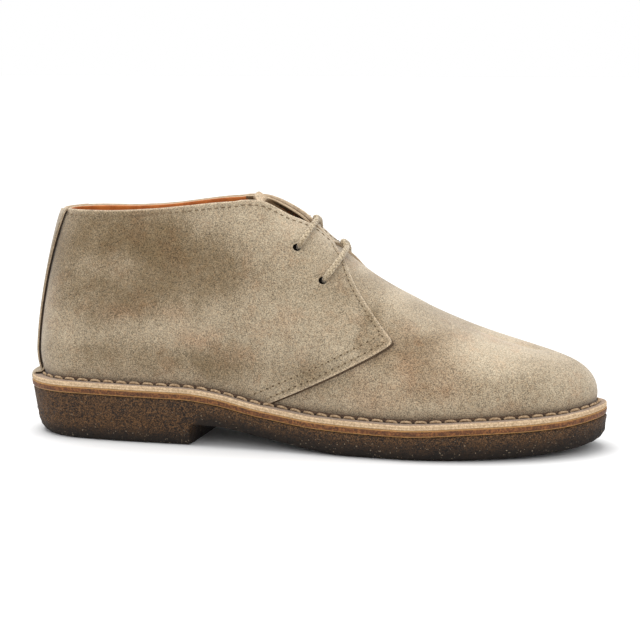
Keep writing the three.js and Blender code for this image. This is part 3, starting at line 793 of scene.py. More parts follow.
def quarter_edges(side):
    """Lower edge, top, back seam and front edge, as paths of share and climb."""
    x = np.linspace(100, 161, 90)
    throat = smooth_curve(THROAT["x"], THROAT[dict(SIDES)[side]])
    share, climb = locate(side, np.stack([x, throat(x)], -1), (0, 1), 0.45, 0.9)
    facing = np.stack([share, climb], -1)
    higher = 1.3 if side > 0 else 0.0  # the inner side's top line rises a little more to the front
    top_line = lambda station: collar(station) + higher * smoothstep(station, 60, 100)
    above = form(around_of(side, share), climb)[:, 2] > top_line(x)
    facing = facing[np.argmin(above):]
    top_share = np.linspace(0, facing[0, 0], 90)[:-1]
    top = np.concatenate([np.stack([top_share, climb_at(side, top_share, top_line)], -1), facing])
    # The corner where top line and facing meet is cut with a short round.
    corner = slice(len(top_share) - 6, len(top_share) + 7)
    for k in (0, 1):
        top[corner, k] = settled(top[:, k], 3.0)[corner]
    front = np.stack(locate(side, drawn(QUARTER_FRONT), (0, 2), 0.6, 0.7), -1)
    front = np.concatenate([facing[-1:], front])[::-1]
    low = np.stack(locate(side, drawn(QUARTER_LOW), (0, 2), 0.55, 0.0), -1)
    foot = np.stack([np.linspace(0, low[0, 0], 60)[:-1], np.full(59, -1.0)], -1)
    back = np.stack([np.zeros(60), np.linspace(-1, top[0, 1], 60)], -1)
    return np.concatenate([foot, low]), top, back, front


def coons(side, edges, u, v):
    """Share and climb over a patch: rows go up it, columns along it."""
    bottom, top, back, front = (along_path(side, edge, places)
                                for edge, places in zip(edges, (u, u, v, v)))
    s, t = u[None, :, None], v[:, None, None]
    straight = ((1 - s) * (1 - t) * bottom[0] + s * (1 - t) * bottom[-1]
                + (1 - s) * t * top[0] + s * t * top[-1])
    return (1 - t) * bottom[None] + t * top[None] + (1 - s) * back[:, None] + s * front[:, None] - straight


def rounded_corner(side, patch, cut=0.95, reach=4.2):
    """The patch with its lower front corner drawn in, so that the corner is round."""
    points = form(around_of(side, patch[..., 0]), patch[..., 1])
    tip, inner = patch[0, -1], patch[8, -9]
    inward = (inner - tip) / np.linalg.norm(points[8, -9] - points[0, -1])
    near = np.clip(1 - np.linalg.norm(points - points[0, -1], axis=-1) / reach, 0, 1)
    return patch + inward * (cut * near ** 2)[..., None]


QUARTER = {}
for side, word in SIDES:
    edges = quarter_edges(side)
    along, up = spacing(205, 1.35, (0.25, 0.8)), spacing(88, 1.3, (0.25, 0.8))
    QUARTER[side] = rounded_corner(side, coons(side, edges, along, up))
    corner_point = form(around_of(side, edges[3][0, 0]), edges[3][0, 1])
    print(word, "quarter", QUARTER[side].shape[:2], "front corner at", np.round(corner_point, 1))

# %% [markdown]
# Leather that has been walked in keeps soft waves where the foot bends. They are listed here,
# as troughs and ridges a few centimetres long and less than a millimetre deep, and both
# quarters and vamp are lifted by the same waves, so that a crease runs on across a seam.

# %% Waves in the leather
WAVES = [  # side, from (station, height), to (station, height), width, depth
    (-1, (176, 76), (192, 60), 9, -0.9), (-1, (196, 66), (222, 52), 9, 0.45),
    (-1, (204, 60), (232, 36), 8, -0.5), (-1, (150, 88), (166, 62), 12, -0.5),
    (-1, (96, 104), (60, 92), 14, -0.6), (-1, (100, 60), (62, 52), 16, 0.6),
    (-1, (128, 96), (118, 62), 12, 0.45), (-1, (40, 84), (96, 74), 14, -0.4),
    (-1, (170, 34), (206, 30), 8, -0.35), (-1, (30, 48), (26, 96), 9, -0.4),
    (1, (178, 74), (194, 58), 9, -0.9), (1, (200, 64), (228, 46), 9, 0.5),
    (1, (206, 58), (226, 34), 8, -0.6), (1, (150, 90), (160, 60), 12, -0.5),
    (1, (92, 100), (60, 84), 14, -0.7), (1, (98, 58), (130, 42), 14, 0.5),
    (1, (150, 52), (176, 34), 9, -0.5), (1, (34, 50), (30, 92), 9, -0.4)]


def waves(points):
    """How far the leather is lifted, in millimetres, at points of the form."""
    lift = np.zeros(points.shape[:-1])
    side = np.where(points[..., 1] < 0, -1, 1)
    for at_side, start, end, width, depth in WAVES:
        start, end = np.array(start, float), np.array(end, float)
        across = points[..., [0, 2]] - start
        part = np.clip(across @ (end - start) / ((end - start) @ (end - start)), 0, 1)
        gap = np.linalg.norm(across - part[..., None] * (end - start), axis=-1)
        lift += np.where(side == at_side, depth * np.exp(-(gap / width) ** 2), 0)
    return lift

print(len(WAVES), "waves, the deepest", min(row[-1] for row in WAVES), "mm")

# %% [markdown]
# The eyelets are plain punched holes without metal. The cord pulls their edge down into the
# leather, so each is a pit in a shallow dip; its dark well, painted shade, is added after the cord.

# %% Eyelet holes


def around_at(side, x, climb):
    """Place on the outline for the point of the form with that station and climb."""
    return around_of(side, float(share_at(side, x, np.array(climb))))


EYELET_AT, HOLES = [], []
for name, (x, climb) in EYELETS.items():
    for side, word in SIDES:
        EYELET_AT.append((around_at(side, x, climb), climb))
        hole = (around_at(side, x - 0.7, climb - 0.011), climb - 0.011)  # it shows below the cord
        HOLES.append((form(*hole), normal(*hole)))
        print(name, word, "eyelet", np.round(form(*EYELET_AT[-1]), 1))


def punched(points):
    """Leather pressed down at the eyelets: a pit, and a shallow dip round it."""
    sink = np.zeros(points.shape[:-1])
    for centre, _ in HOLES:
        gap = np.linalg.norm(points - centre, axis=-1)
        sink -= 3.8 * (1 - smoothstep(gap, 1.9, 2.7)) + 0.15 * (1 - smoothstep(gap, 2.2, 5))
    return sink


# %% [markdown]
# A sheet of leather has two skins and a cut edge. Two grids of points, one behind the other, and
# a rim of quads between them make it closed; drawing the skins together at the outermost grid
# lines rounds the edge without a modifier.

# %% Sheets of leather


def edge_soften(rows, count, first, second):
    """How far a sheet is drawn in at its outermost grid line and at the next one."""
    row = np.minimum(np.arange(rows), rows - 1 - np.arange(rows))[:, None]
    column = np.minimum(np.arange(count), count - 1 - np.arange(count))[None, :]
    edge = np.minimum(row, column)
    return np.where(edge == 0, first, np.where(edge == 1, second, 0.0))


def sheet(name, outside, inside, finishes, sides=(0, 0, 1), slot="suede", marks=None, flip=False):
    """A closed sheet from its two skins; sides number the finishes outside, inside and on the rim."""
    rows, count = outside.shape[:2]
    total = rows * count
    ring = np.concatenate([np.arange(count), np.arange(1, rows) * count + count - 1,
                           (rows - 1) * count + np.arange(count - 2, -1, -1),
                           np.arange(rows - 2, 0, -1) * count])
    after = np.roll(ring, -1)
    top = grid_faces(rows, count)
    rim = np.stack([after, ring, ring + total, after + total], -1)
    faces = np.concatenate([top, top[:, ::-1] + total, rim])
    picks = [np.broadcast_to(side, len(part)) for side, part in zip(sides, (top, top, rim))]
    points = np.concatenate([outside.reshape(-1, 3), inside.reshape(-1, 3)])
    both = {key: np.tile(np.ravel(values), 2) for key, values in (marks or {}).items()}
    return add_mesh(name, points, faces[:, ::-1] if flip else faces, finishes,
                    np.concatenate(picks), both)


def slab(name, around, climb, outer, inner, finishes, relief, **more):
    """A sheet between two distances from the form, with its outer skin and that skin's normals."""
    base, out = form(around, climb), normal(around, climb)
    soften = edge_soften(*around.shape, 0.24, 0.05) * (outer - inner)
    outside = base + out * (outer - soften + relief)[..., None]
    inside = base + out * (inner + soften + np.minimum(relief, 0))[..., None]
    return sheet(name, outside, inside, finishes, **more), outside, out


def base_shadow(points):
    """1 at the feather line, fading out a few millimetres up the wall."""
    height = points[..., 2] - seat(points[..., 0]) - FLANGE
    return 0.72 * (1 - smoothstep(height, 1.3, 4.6)) + 0.24 * (1 - smoothstep(height, 2, 11))


def from_line(points, line):
    """Distance of every point of a grid from the nearest point of a line."""
    tree = KDTree(len(line))
    for number, place in enumerate(line.tolist()):
        tree.insert(place, number)
    tree.balance()
    gaps = [tree.find(place)[2] for place in points.reshape(-1, 3).tolist()]
    return np.array(gaps).reshape(points.shape[:-1])


print("an edge is drawn in by", edge_soften(3, 3, 0.24, 0.05)[0, 0], "of the thickness")

# %% [markdown]
# Each quarter is suede outside, with a raw edge all round. The tan lining is a sheet of its own
# just inside it, and brown leather backs the facings, where the eyelets need strength. Its dark brown
# is also painted shade of the narrow throat between the facings.

# %% Quarters and linings
SKIN = {}
for side, word in SIDES:
    share, climb = QUARTER[side][..., 0], QUARTER[side][..., 1]
    around = around_of(side, share)
    if side > 0:  # turned round, so that its faces look outwards too
        around, climb = around[:, ::-1], climb[:, ::-1]
    base = form(around, climb)
    ordered = base if side < 0 else base[:, ::-1]
    free = np.concatenate([ordered[0][ordered[0, :, 0] > 136], ordered[:, -1], ordered[-1, ::-1]])
    # Painted shade at the foot of the wall goes into the mark "low".
    marks = {"low": base_shadow(base),
             "rim": 1 - smoothstep(from_line(base, evenly(0.4, free)[0]), 0.3, 1.3)}
    quarter, outside, out = slab("quarter_" + word, around, climb, QUARTER_LIFT, -0.6,
                                 [SUEDE, CUT_EDGE], waves(base) + punched(base),
                                 sides=(0, 1, 1), marks=marks)
    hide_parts("upper")
    SKIN[side] = (outside, out) if side < 0 else (outside[:, ::-1], out[:, ::-1])
    throat_edge = ordered[-1][ordered[-1, :, 0] > 119]
    # Painted shade: the lining is dark brown within 7 mm of the throat's edge.
    throat_shade = from_line(base, throat_edge)[:-1, :-1].ravel() < 7
    slab("lining_" + word, around, climb, -0.62, -LINING, [LINING_EDGE, LINING_TAN, FACING_SHADE_BROWN],
         waves(base) * 0.5 + np.minimum(punched(base), 0),
         sides=(0, np.where(throat_shade, 2, 1), 0), slot="lining")
    print(quarter.name, len(quarter.data.polygons), "faces")

# %% [markdown]
# ## The vamp
# The vamp covers the toes and the top of the forefoot in one piece and runs back under the
# quarters. Its grid goes over the whole front of the form; on the ridge the two sides share
# their points, so that no seam shows there.

# %% The vamp


def zipped(faces, last_row, count):
    """Faces whose last row is joined across the ridge: a column and its mirror share a point."""
    start = last_row * count
    column = faces - start
    return np.where((column > count // 2) & (column < count), start + count - 1 - column, faces)


climb_rows = np.concatenate([np.linspace(-1, 0, 10)[:-1], 1 - np.linspace(1, 0, 66) ** 1.12])
turn = np.linspace(-1, 1, 301)
back_share = 0.43 + 0.115 * smoothstep(climb_rows, 0.0, 1.0)
vamp_around = 1 + np.sign(turn) * ((1 - back_share)[:, None] * np.abs(turn)[None, :])
vamp_climb = np.broadcast_to(climb_rows[:, None], vamp_around.shape)
base, out = form(vamp_around, vamp_climb), normal(vamp_around, vamp_climb)
rows, count = vamp_around.shape
total = rows * count
lift = waves(base) * smoothstep(base[..., 0], 150, 175) + punched(base)
outside = base + out * lift[..., None]
pole = np.exp(-(np.linalg.norm(base - form(1.0, 1.0), axis=-1) / 11) ** 2)[..., None]
for _ in range(60):  # the end of the ridge is ironed out
    above = np.concatenate([outside[1:], outside[-2:-1, ::-1]])
    below = np.concatenate([outside[:1], outside[:-1]])
    beside = (np.roll(outside, 1, 1) + np.roll(outside, -1, 1)) / 2
    smooth = (above + below) / 4 + beside / 2
    outside = outside + (smooth - outside) * pole * 0.8
inside = base - out * (1.9 - punched(base))[..., None]
# Painted shadow on the vamp just below the quarters' lower edges, and painted shade at the foot of the wall,
# both in the mark "low".
quarter_edge_shadow = np.zeros(base.shape[:-1])
for skin, _ in SKIN.values():
    front_low = skin[0]
    away = from_line(outside, evenly(0.4, front_low[front_low[:, 0] > 134])[0])
    quarter_edge_shadow = np.maximum(quarter_edge_shadow, 0.55 * (1 - smoothstep(away, 0.8, 4.5)))
low = np.concatenate([np.maximum(base_shadow(outside), quarter_edge_shadow).ravel(), np.zeros(total)])
print("vamp", rows, "by", count, "points")

# %% [markdown]
# The skins are joined by a rim along the back and lower edges. Where two points of a face have
# become one on the ridge, the face turns into a triangle or is left out.

# %% Faces of the vamp
faces = zipped(grid_faces(rows, count), rows - 1, count)
edge = np.concatenate([np.arange(rows - 1, 0, -1) * count, np.arange(count),
                       np.arange(1, rows) * count + count - 1])
rim = np.stack([edge[1:], edge[:-1], edge[:-1] + total, edge[1:] + total], -1)
rim = zipped(rim, rows - 1, count)
rim = np.where(rim >= total + (rows - 1) * count, zipped(rim - total, rows - 1, count) + total, rim)
every = np.concatenate([faces, faces[:, ::-1] + total, rim])
kept = np.array([len(set(face)) >= 3 for face in every.tolist()])
picks = np.concatenate([np.zeros(len(faces)), np.ones(len(faces) + len(rim))])[kept]
clean = [tuple(dict.fromkeys(face)) for face in every[kept].tolist()]
points = np.concatenate([outside.reshape(-1, 3), inside.reshape(-1, 3)])
vamp = add_mesh("vamp", points, clean, [SUEDE, LINING_TAN], picks, {"low": low})
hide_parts("upper")
print("vamp", len(clean), "faces")

# %% [markdown]
# ## The stitched-down flange
# In this construction the lower edge of the upper isn't tucked under the foot. It turns outwards
# and is sewn flat on the midsole, so a flange runs all round. One cross-section, carried round
# the outline, gives its fillet against the wall, its flat top and its rounded raw edge.

# %% Rows round the boot
RING = 760  # points round the boot
FILLET, INSET = 1.9, 0.12  # the fillet's radius, and how far it starts inside the wall
STRIP_HALF = 14.0  # half the width of the strip over the back seam
ring_around = np.linspace(0, 2, RING, endpoint=False)
ring_share = share_of(ring_around)
ring_margin = profile("margin", ring_share)
wall_lift = QUARTER_LIFT * (1 - smoothstep(form(ring_around, -1.0)[:, 0], 133.5, 136.5))


def wall_out(height):
    """How far the wall leans out over its foot at a height above the flange."""
    rise, bulge = profile("rise", ring_share), profile("bulge", ring_share)
    return bulge * (1 - (1 - height / rise) ** 2)


def ring_row(out, height):
    """A row round the boot, by distance beyond the foot and height above the flange."""
    x, y = offset_outline(ring_around, -ring_margin + out)
    return np.stack([x, y, seat(x) + FLANGE + height], -1)


print("flange width:", ring_margin.min().round(1), "to", ring_margin.max().round(1), "mm")

# %% [markdown]
# The rows run from the wall out over the edge and back underneath. The flange is narrower under
# the back strip, which covers its edge there, and a slow noise keeps the cut from being exact.

# %% The flange
CUT_ROWS = [  # beyond the flange's width, and height: the raw edge and the underside
    (-0.95, 0.0), (-0.45, -0.08), (-0.12, -0.32), (0.0, -0.7), (0.0, -1.15), (-0.28, -1.35),
    (-0.02, -1.55), (0.02, -2.1), (-0.3, -2.5), (-2.5, -2.6), (-7.5, -2.6)]
outline_x, outline_y = offset_outline(ring_around, 0)
under_strip = (1 - smoothstep(np.abs(outline_y), STRIP_HALF - 0.7, STRIP_HALF + 0.8)) * (outline_x < 60)
cut_margin = ring_margin - 1.3 * under_strip
wave = 0.16 * np.array([noise.noise(Vector(place * 0.11)) for place in ring_row(6, 0)])
flange_rows = [ring_row(wall_out(FILLET + 1.6) + wall_lift - 0.5, FILLET + 1.6)]
start = wall_lift - INSET
for phi in np.linspace(0, math.pi / 2, 6):
    out = start + wall_out(FILLET) * np.cos(phi) + FILLET * (1 - math.cos(phi))
    flange_rows.append(ring_row(out, FILLET * (1 - math.sin(phi)) + 0.02))
start = start + FILLET
for part in (0.2, 0.45, 0.7, 0.9):
    flange_rows.append(ring_row(start + (cut_margin - 1.0 - start) * part, 0.02 + wave * part))
first_cut = len(flange_rows) + 1
for beyond, height in CUT_ROWS:
    flange_rows.append(ring_row(cut_margin + beyond + wave * 0.6, height + wave * (height > -1)))
faces = grid_faces(len(flange_rows), RING, loop=True)[:, ::-1]
picks = np.repeat((np.arange(len(flange_rows) - 1) >= first_cut).astype(int), RING)
# Painted shade where the flange meets the wall: full on the wall and most of the fillet, fading out onto the
# flat top.
fillet_shade = np.concatenate([np.ones(5), np.linspace(0.9, 0.0, 4), np.zeros(len(flange_rows) - 9)])
flange = add_mesh("flange", np.concatenate(flange_rows), faces, [FLANGE_SUEDE, FLANGE_EDGE],
                  picks, {"low": np.repeat(fillet_shade, RING)})
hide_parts("upper")
print("flange", len(faces), "faces")

# %% [markdown]
# A suede strip runs up the back and hides the seam between the quarters. At its foot it turns
# out over the flange in a wide round and covers the flange's edge.

# %% Rows of the back strip
STRIP_IN, STRIP_OUT = QUARTER_LIFT + 0.15, QUARTER_LIFT + 1.9
across = spacing(2 * STRIP_HALF, 1.1, (0.25, 0.7)) * 2 - 1
strip_climb = np.linspace(1, -1, 90)
half_share = np.full(len(strip_climb), 0.06)
for _ in range(30):  # the share that is half the strip's width away from the back seam
    point = form(around_of(1, half_share), strip_climb)
    half_share *= np.clip(STRIP_HALF / np.maximum(point[:, 1], 1), 0.7, 1.4)
strip_around = half_share[:, None] * across[None, :]
strip_climb = np.broadcast_to(strip_climb[:, None], strip_around.shape)
base, out = form(strip_around, strip_climb), normal(strip_around, strip_climb)
spine = base[:, len(across) // 2]
top_row = np.argmax(spine[:, 2] < collar(spine[:, 0]) + 0.2)
base, out, foot_around = base[top_row:-3], out[top_row:-3], strip_around[-4]
foot_margin = profile("margin", share_of(foot_around))


def lobe_row(beyond, height):
    """A row across the strip's foot, by distance beyond the outline and height over the flange."""
    x, y = offset_outline(foot_around, beyond)
    return np.stack([x, y, seat(x) + FLANGE + height], -1)


def lobe(thick, corner, edge, bend):
    """The turned-out foot of the strip, as rows from the wall down over the flange's edge."""
    rows = []
    for phi in np.linspace(0.1, 1, 6) * math.pi / 2:
        rows.append(lobe_row(-foot_margin + 1.6 + thick + corner * (1 - math.cos(phi)),
                             thick + 0.1 + corner * (1 - math.sin(phi))))
    for phi in np.linspace(0, 1, 7) * math.pi / 2:
        rows.append(lobe_row(edge - bend * (1 - math.sin(phi)),
                             thick + 0.1 - bend * (1 - math.cos(phi))))
    return rows + [lobe_row(edge + 0.02, thick - bend - 0.7), lobe_row(edge - 0.15, -2.9)]


outer_rows = np.concatenate([base + out * STRIP_OUT, lobe(1.3, 3.4, 0.35, 2.3)])
inner_rows = np.concatenate([base + out * STRIP_IN, lobe(0.1, 2.4, -1.15, 1.0)])
for skin in (outer_rows, inner_rows):  # the top is trimmed level with the top line
    skin[..., 2] = np.minimum(skin[..., 2], collar(skin[..., 0]) + 0.3)
print("strip", len(outer_rows), "rows of", outer_rows.shape[1], "points")

# %% [markdown]
# The strip lies on the quarters, so a dark line of shadow shows along each of its sides. A thin
# dark tube just under each edge is that shadow, painted, and it looks the same from every side.

# %% The back strip and its painted side shadows
soft = edge_soften(*outer_rows.shape[:2], 0.25, 0.05)
between = (inner_rows - outer_rows) * soft[..., None]
outer_rows, inner_rows = outer_rows + between, inner_rows - between
strip = sheet("back_strip_suede", outer_rows, inner_rows, [SUEDE, CUT_EDGE],
              marks={"rim": 0.5 * (soft > 0.1)}, flip=True)
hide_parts("back_strip")
under_edge = outer_rows * 0.35 + inner_rows * 0.65
gaps = np.stack([under_edge[:-6, 0], under_edge[:-6, -1]])
gaps[:, 0] = gaps[:, 0] * 0.6 + gaps[:, 1] * 0.4  # the tubes start a little below the top
gaps[:, :, 1] += np.array([-0.25, 0.25])[:, None]
made, faces = tubes(gaps, np.broadcast_to([-0.8, 0.1, 0.6], gaps.shape), 0.5)
add_mesh("strip_side_shadow", made, faces, [HOLE_AND_GAP_SHADE])
print("strip", len(strip.data.polygons), "faces")

# %% [markdown]
# ## Sole
# Midsole, runner and heel are layers with the same outline. A layer is a stack of closed rings,
# one for each height of its edge, with a few rings running in to close the top and the bottom.
# Crepe isn't smooth, so its rings are shaken by a noise that is worked out at every point.

# %% Edges of the sole
RUNNER_RIM = columns("up back side fore", [  # height in the layer, and how far each part stands out
    (1, -0.9, -0.8, -0.8), (0.93, -0.8, -0.2, 0), (0.35, -1.7, -0.2, -0.6), (0.12, -2.2, -0.3, -2),
    (0, -2.4, -0.4, -3.8)])
HEEL_RIM = columns("up back side fore", [
    (1, -2.5, -0.5, -0.5), (0.6, -3.3, -0.7, -0.7), (0.3, -4.5, -1, -1), (0.1, -6, -1.6, -1.6),
    (0, -7.5, -2.6, -2.6)])
MIDSOLE_RIM = columns("up back side fore", [
    (1, -0.1, -0.1, -0.1), (0.82, 0.25, 0.25, 0.25), (0.18, 0.0, 0.0, 0.0), (0, -0.5, -0.5, -0.5)])
SOCK_RIM = columns("up back side fore", [
    (1, -12.4, -11.2, -10.8), (0.8, -12, -10.8, -10.4), (0, -12, -10.8, -10.4)])
CREPE_DEPTH, CREPE_SIZE = 0.34, 3.4  # how rough the crepe's sides are, and how far apart its lumps
midsole_top = lambda x: seat(x) - GAP * 0.3
midsole_bottom = lambda x: seat(x) - GAP - MIDSOLE
runner_top = lambda x: seat(x) - 2 * GAP * 0.8 - MIDSOLE


def rim_out(rim, up, x):
    """How far an edge stands out at a height, for a station: heel back, heel sides, forefoot."""
    back, side, fore = (np.interp(up, rim["up"][::-1], rim[key][::-1]) for key in ("back", "side", "fore"))
    heel = back + (side - back) * smoothstep(x, 4, 45)
    return heel + (fore - heel) * smoothstep(x, BREAST, BREAST + 30)


def shaken(points, amount, size, stretch=1.4):
    """Distances to move points by, from two sizes of noise."""
    values = [noise.noise(Vector((x / size, y / size, z / size * stretch)))
              + 0.55 * noise.noise(Vector((x / size * 2.7 + 9, y / size * 2.7, z / size * 2.7 * stretch)))
              for x, y, z in points.tolist()]
    return np.array(values) * amount


print("the runner stands out by", rim_out(RUNNER_RIM, 0.5, 200.0).round(2), "mm at the ball")

# %% [markdown]
# The rings run in towards the middle line of the sole, and the last one is closed with quads
# from side to side. That keeps every layer a closed solid.

# %% Layers of the sole


def closing(loop, level, shares):
    """Rings from a rim towards the middle line of the sole."""
    mirror = loop[(-np.arange(len(loop))) % len(loop)]
    middle = (loop + mirror) / 2
    rings = []
    for share in shares:
        ring = loop + (middle - loop) * share
        ring[:, 2] = level(ring[:, 0])
        rings.append(ring)
    return rings


def stack(name, loops, finishes, marks=None):
    """Closed solid from rings of equal length; the first and last ring are closed across."""
    count = len(loops[0])
    faces = grid_faces(len(loops), count, loop=True)[:, ::-1]
    k = np.arange(1, count // 2 - 1)
    across = np.stack([k, k + 1, count - k - 1, count - k], -1)
    tips = [(0, 1, count - 1), (count // 2, count // 2 + 1, count // 2 - 1)]
    first = [tuple(face) for face in across] + tips
    last = [tuple(i + (len(loops) - 1) * count for i in face[::-1]) for face in first]
    every = [tuple(face) for face in faces] + first + last
    return add_mesh(name, np.concatenate(loops), every, finishes, None, marks)


def layer_loops(rim, ups, top, bottom, roughness=0.0, size=4.0):
    """Rings of a layer, from the middle of its top over the edge to the middle of its bottom."""
    outward = np.stack([on_loop(OUT_X, ring_around), on_loop(OUT_Y, ring_around)], -1)
    loops = []
    for up in ups:
        x, y = offset_outline(ring_around, rim_out(rim, up, outline_x))
        loop = np.stack([x, y, bottom(x) + (top(x) - bottom(x)) * up], -1)
        if roughness:
            loop[:, :2] += outward * shaken(loop, roughness, size)[:, None]
        loops.append(loop)
    above = closing(loops[0], top, (0.93, 0.6, 0.3, 0.1))
    below = closing(loops[-1], bottom, (0.03, 0.1, 0.3, 0.6, 0.93))
    return above + loops + below


midsole_ups = np.array([1, 0.97, 0.9, 0.8, 0.65, 0.5, 0.35, 0.2, 0.1, 0.03, 0])
loops = layer_loops(MIDSOLE_RIM, midsole_ups, midsole_top, midsole_bottom, 0.1, 6.0)
ring_up = np.concatenate([np.ones(4), midsole_ups, np.zeros(5)])
seam_mark = np.maximum(smoothstep(ring_up, 0.86, 0.97), 0.7 * (1 - smoothstep(ring_up, 0.05, 0.2)))
midsole = stack("midsole_edge", loops, [MIDSOLE_BROWN], {"seam": np.repeat(seam_mark, RING)})
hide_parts("midsole")
print("midsole", len(midsole.data.polygons), "faces")

# %% [markdown]
# The runner goes from heel to toe. Towards the ground it is darker, with dirt and with painted
# shade, so its mark fades with the height: above the floor at the heel, above the tread in front of it.

# %% The crepe runner
runner_ups = np.concatenate([[1, 0.985, 0.965], np.linspace(0.94, 0.06, 19), [0.035, 0.015, 0]])
loops = layer_loops(RUNNER_RIM, runner_ups, runner_top, tread, CREPE_DEPTH, CREPE_SIZE)
# Dirt and painted shade on the runner, darker near the ground.
dirt_and_shade = []
for x, _, z in (loop.T for loop in loops):
    height = z - tread(x) * smoothstep(x, BREAST - 2, BREAST + 6)
    dirt_and_shade.append(1 - smoothstep(height, 0.6, 9 + 3 * smoothstep(x, 130, 180)))
runner = stack("crepe_runner", loops, [CREPE], {"dirt_and_shade": np.concatenate(dirt_and_shade)})
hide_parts("outsole")
print("runner", len(runner.data.polygons), "faces")

# %% [markdown]
# The heel is a block of the same crepe under the runner. Its sides follow the outline; its
# front, the breast, is cut straight across.

# %% The heel
HEEL_HEIGHT = 11.0 - GAP
breast_share = float(share_at(-1, BREAST, np.array(-1.0)))


def heel_loop(up):
    """One ring of the heel at a height: the two sides and half the breast each, joined."""
    breast = BREAST + 1.4 * smoothstep(up, 0.86, 1.0) - 0.8 * (1 - smoothstep(up, 0.0, 0.12))
    halves = []
    for side, _ in SIDES:
        around = around_of(side, np.linspace(0, 1, 150) * breast_share * 1.1)
        station, _ = offset_outline(around, 0)
        x, y = offset_outline(around, rim_out(HEEL_RIM, min(up, 1), station))
        edge = np.stack([x, y], -1)[:np.searchsorted(x, breast)]
        length = lengths(edge)
        x, y = (np.interp(np.linspace(0, length[-1], 130), length, edge[:, k]) for k in (0, 1))
        face_y = np.linspace(y[-1], 0, 34)[1:]
        face_x = breast - 1.3 * np.exp(-np.abs(face_y - y[-1]) / 1.2)  # a round corner
        halves.append(np.stack([np.append(x, face_x), np.append(y, face_y)], -1))
    plan = np.concatenate([halves[0], halves[1][-2:0:-1]])
    loop = np.column_stack([plan, np.full(len(plan), HEEL_HEIGHT * up)])
    along = np.roll(loop, -1, 0) - np.roll(loop, 1, 0)
    outward = np.stack([along[:, 1], -along[:, 0]], -1)
    outward /= np.linalg.norm(outward, axis=-1, keepdims=True)
    loop[:, :2] += outward * shaken(loop, CREPE_DEPTH, CREPE_SIZE)[:, None]
    return loop


heel_ups = np.concatenate([[1.03, 0.96, 0.9], np.linspace(0.84, 0.1, 13), [0.05, 0.02, 0]])
loops = [heel_loop(up) for up in heel_ups]
loops = (closing(loops[0], lambda x: np.full(len(x), HEEL_HEIGHT * heel_ups[0]), (0.93, 0.5, 0.15))
         + loops + closing(loops[-1], np.zeros_like, (0.03, 0.12, 0.5, 0.93)))
# Dirt and painted shade on the heel: darker towards the floor.
dirt_and_shade = np.concatenate([1 - smoothstep(loop[:, 2], 0.6, 9.5) for loop in loops])
heel = stack("crepe_heel", loops, [CREPE], {"dirt_and_shade": dirt_and_shade})
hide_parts("heel")
print("heel", len(heel.data.polygons), "faces")

# %% [markdown]
# ## Insole and tongue
# The insole is a leather sock inside the foot of the wall, raised a little under the arch. It is
# one more layer of the sole's kind.

# %% The insole
sock_top = lambda x: seat(x) + INSOLE + 0.3 * np.exp(-((x - 120) / 30) ** 2)
loops = layer_loops(SOCK_RIM, np.array([1, 0.97, 0.9, 0.75, 0.4, 0]), sock_top, seat)
insole = stack("insole_sock", loops, [SOCK_TAN])
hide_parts("insole")
print("insole", len(insole.data.polygons), "faces")

# %% [markdown]
# The tongue is a strip of suede that arches from side to side under the facings; only its tip is
# seen, leaning out over the top. It has a middle line, a half width and an arch. Its pale finish is
# painted highlight on the lit tip, and past the tip a mark paints shade on it.

# %% The tongue
TONGUE = columns("x z half", [
    (121.6, 126, 8.4), (125, 123.4, 11), (129, 120, 11.5), (133.3, 117.4, 12), (138.7, 114, 12),
    (144, 110.6, 12), (148.6, 106.9, 12), (153.4, 102.5, 11.5), (158.9, 97.8, 10.5)])
TONGUE_THICK = 2.0
tongue_z, tongue_half = (smooth_curve(TONGUE["x"], TONGUE[key]) for key in ("z", "half"))
tip, root = TONGUE["x"][[0, -1]]
down = spacing(50, 1.2, (0.3, 0.8)) * (root - tip) + tip
y = tongue_half(down)[:, None] * (spacing(22, 1.1, (0.3, 0.8)) * 2 - 1)[None, :]
x = np.broadcast_to(down[:, None], y.shape)
settle = smoothstep(x, 140, 152)
z = tongue_z(x) - (0.03 + 0.012 * settle) * (y + 1.2 - 1.2 * settle) ** 2
middle = np.stack([x, y, z], -1)
out = np.cross(np.gradient(middle, axis=0), np.gradient(middle, axis=1))
out /= np.linalg.norm(out, axis=-1, keepdims=True)
soft = edge_soften(*y.shape, 0.45, 0.1)[..., None]
# Painted shade: the mark "low" darkens the tongue past its tip.
tongue = sheet("tongue_suede", middle - out * soft, middle - out * (TONGUE_THICK - soft),
               [TONGUE_SUEDE, CUT_EDGE], marks={"low": smoothstep(x, 125.4, 127.2)}, flip=True)
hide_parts("tongue")
print("tongue", len(tongue.data.polygons), "faces")

# %% [markdown]
# ## The lace
# One cord: over the throat between the upper eyelets, down inside the outer facing and back
# over between the lower eyelets. It bows forward over the ridge, because it is pulled down
# towards the toe when it is tied.

# %% The lace's route
CORD = 1.5  # half the cord's thickness
OVER, UNDER = QUARTER_LIFT + CORD + 0.2, -LINING - CORD - 0.4
RISING = [UNDER, -0.6, OVER - 0.9]  # distances from the form, on the way out through an eyelet
BAR = columns("up lean", [(0.2, 0.55), (0.5, 0.95), (0.8, 1), (0.96, 0.85)])


def lace_point(side, x, climb, lift):
    """A point of the cord, by its station, climb and distance from the form."""
    return lifted(around_at(side, x, climb), climb, lift)


def through(side, name, lifts):
    """Points through an eyelet, leaning to its upper edge where the cord comes out."""
    x, climb = EYELETS[name]
    return [lace_point(side, x + 0.5, climb + 0.012, lift) for lift in lifts]


def half_bar(side, name, reach):
    """Points from an eyelet up to the ridge, bowed forward by a reach."""
    x, climb = EYELETS[name]
    return [lace_point(side, x + lean * reach, climb + (1 - climb) * up, OVER)
            for up, lean in zip(BAR["up"], BAR["lean"])]


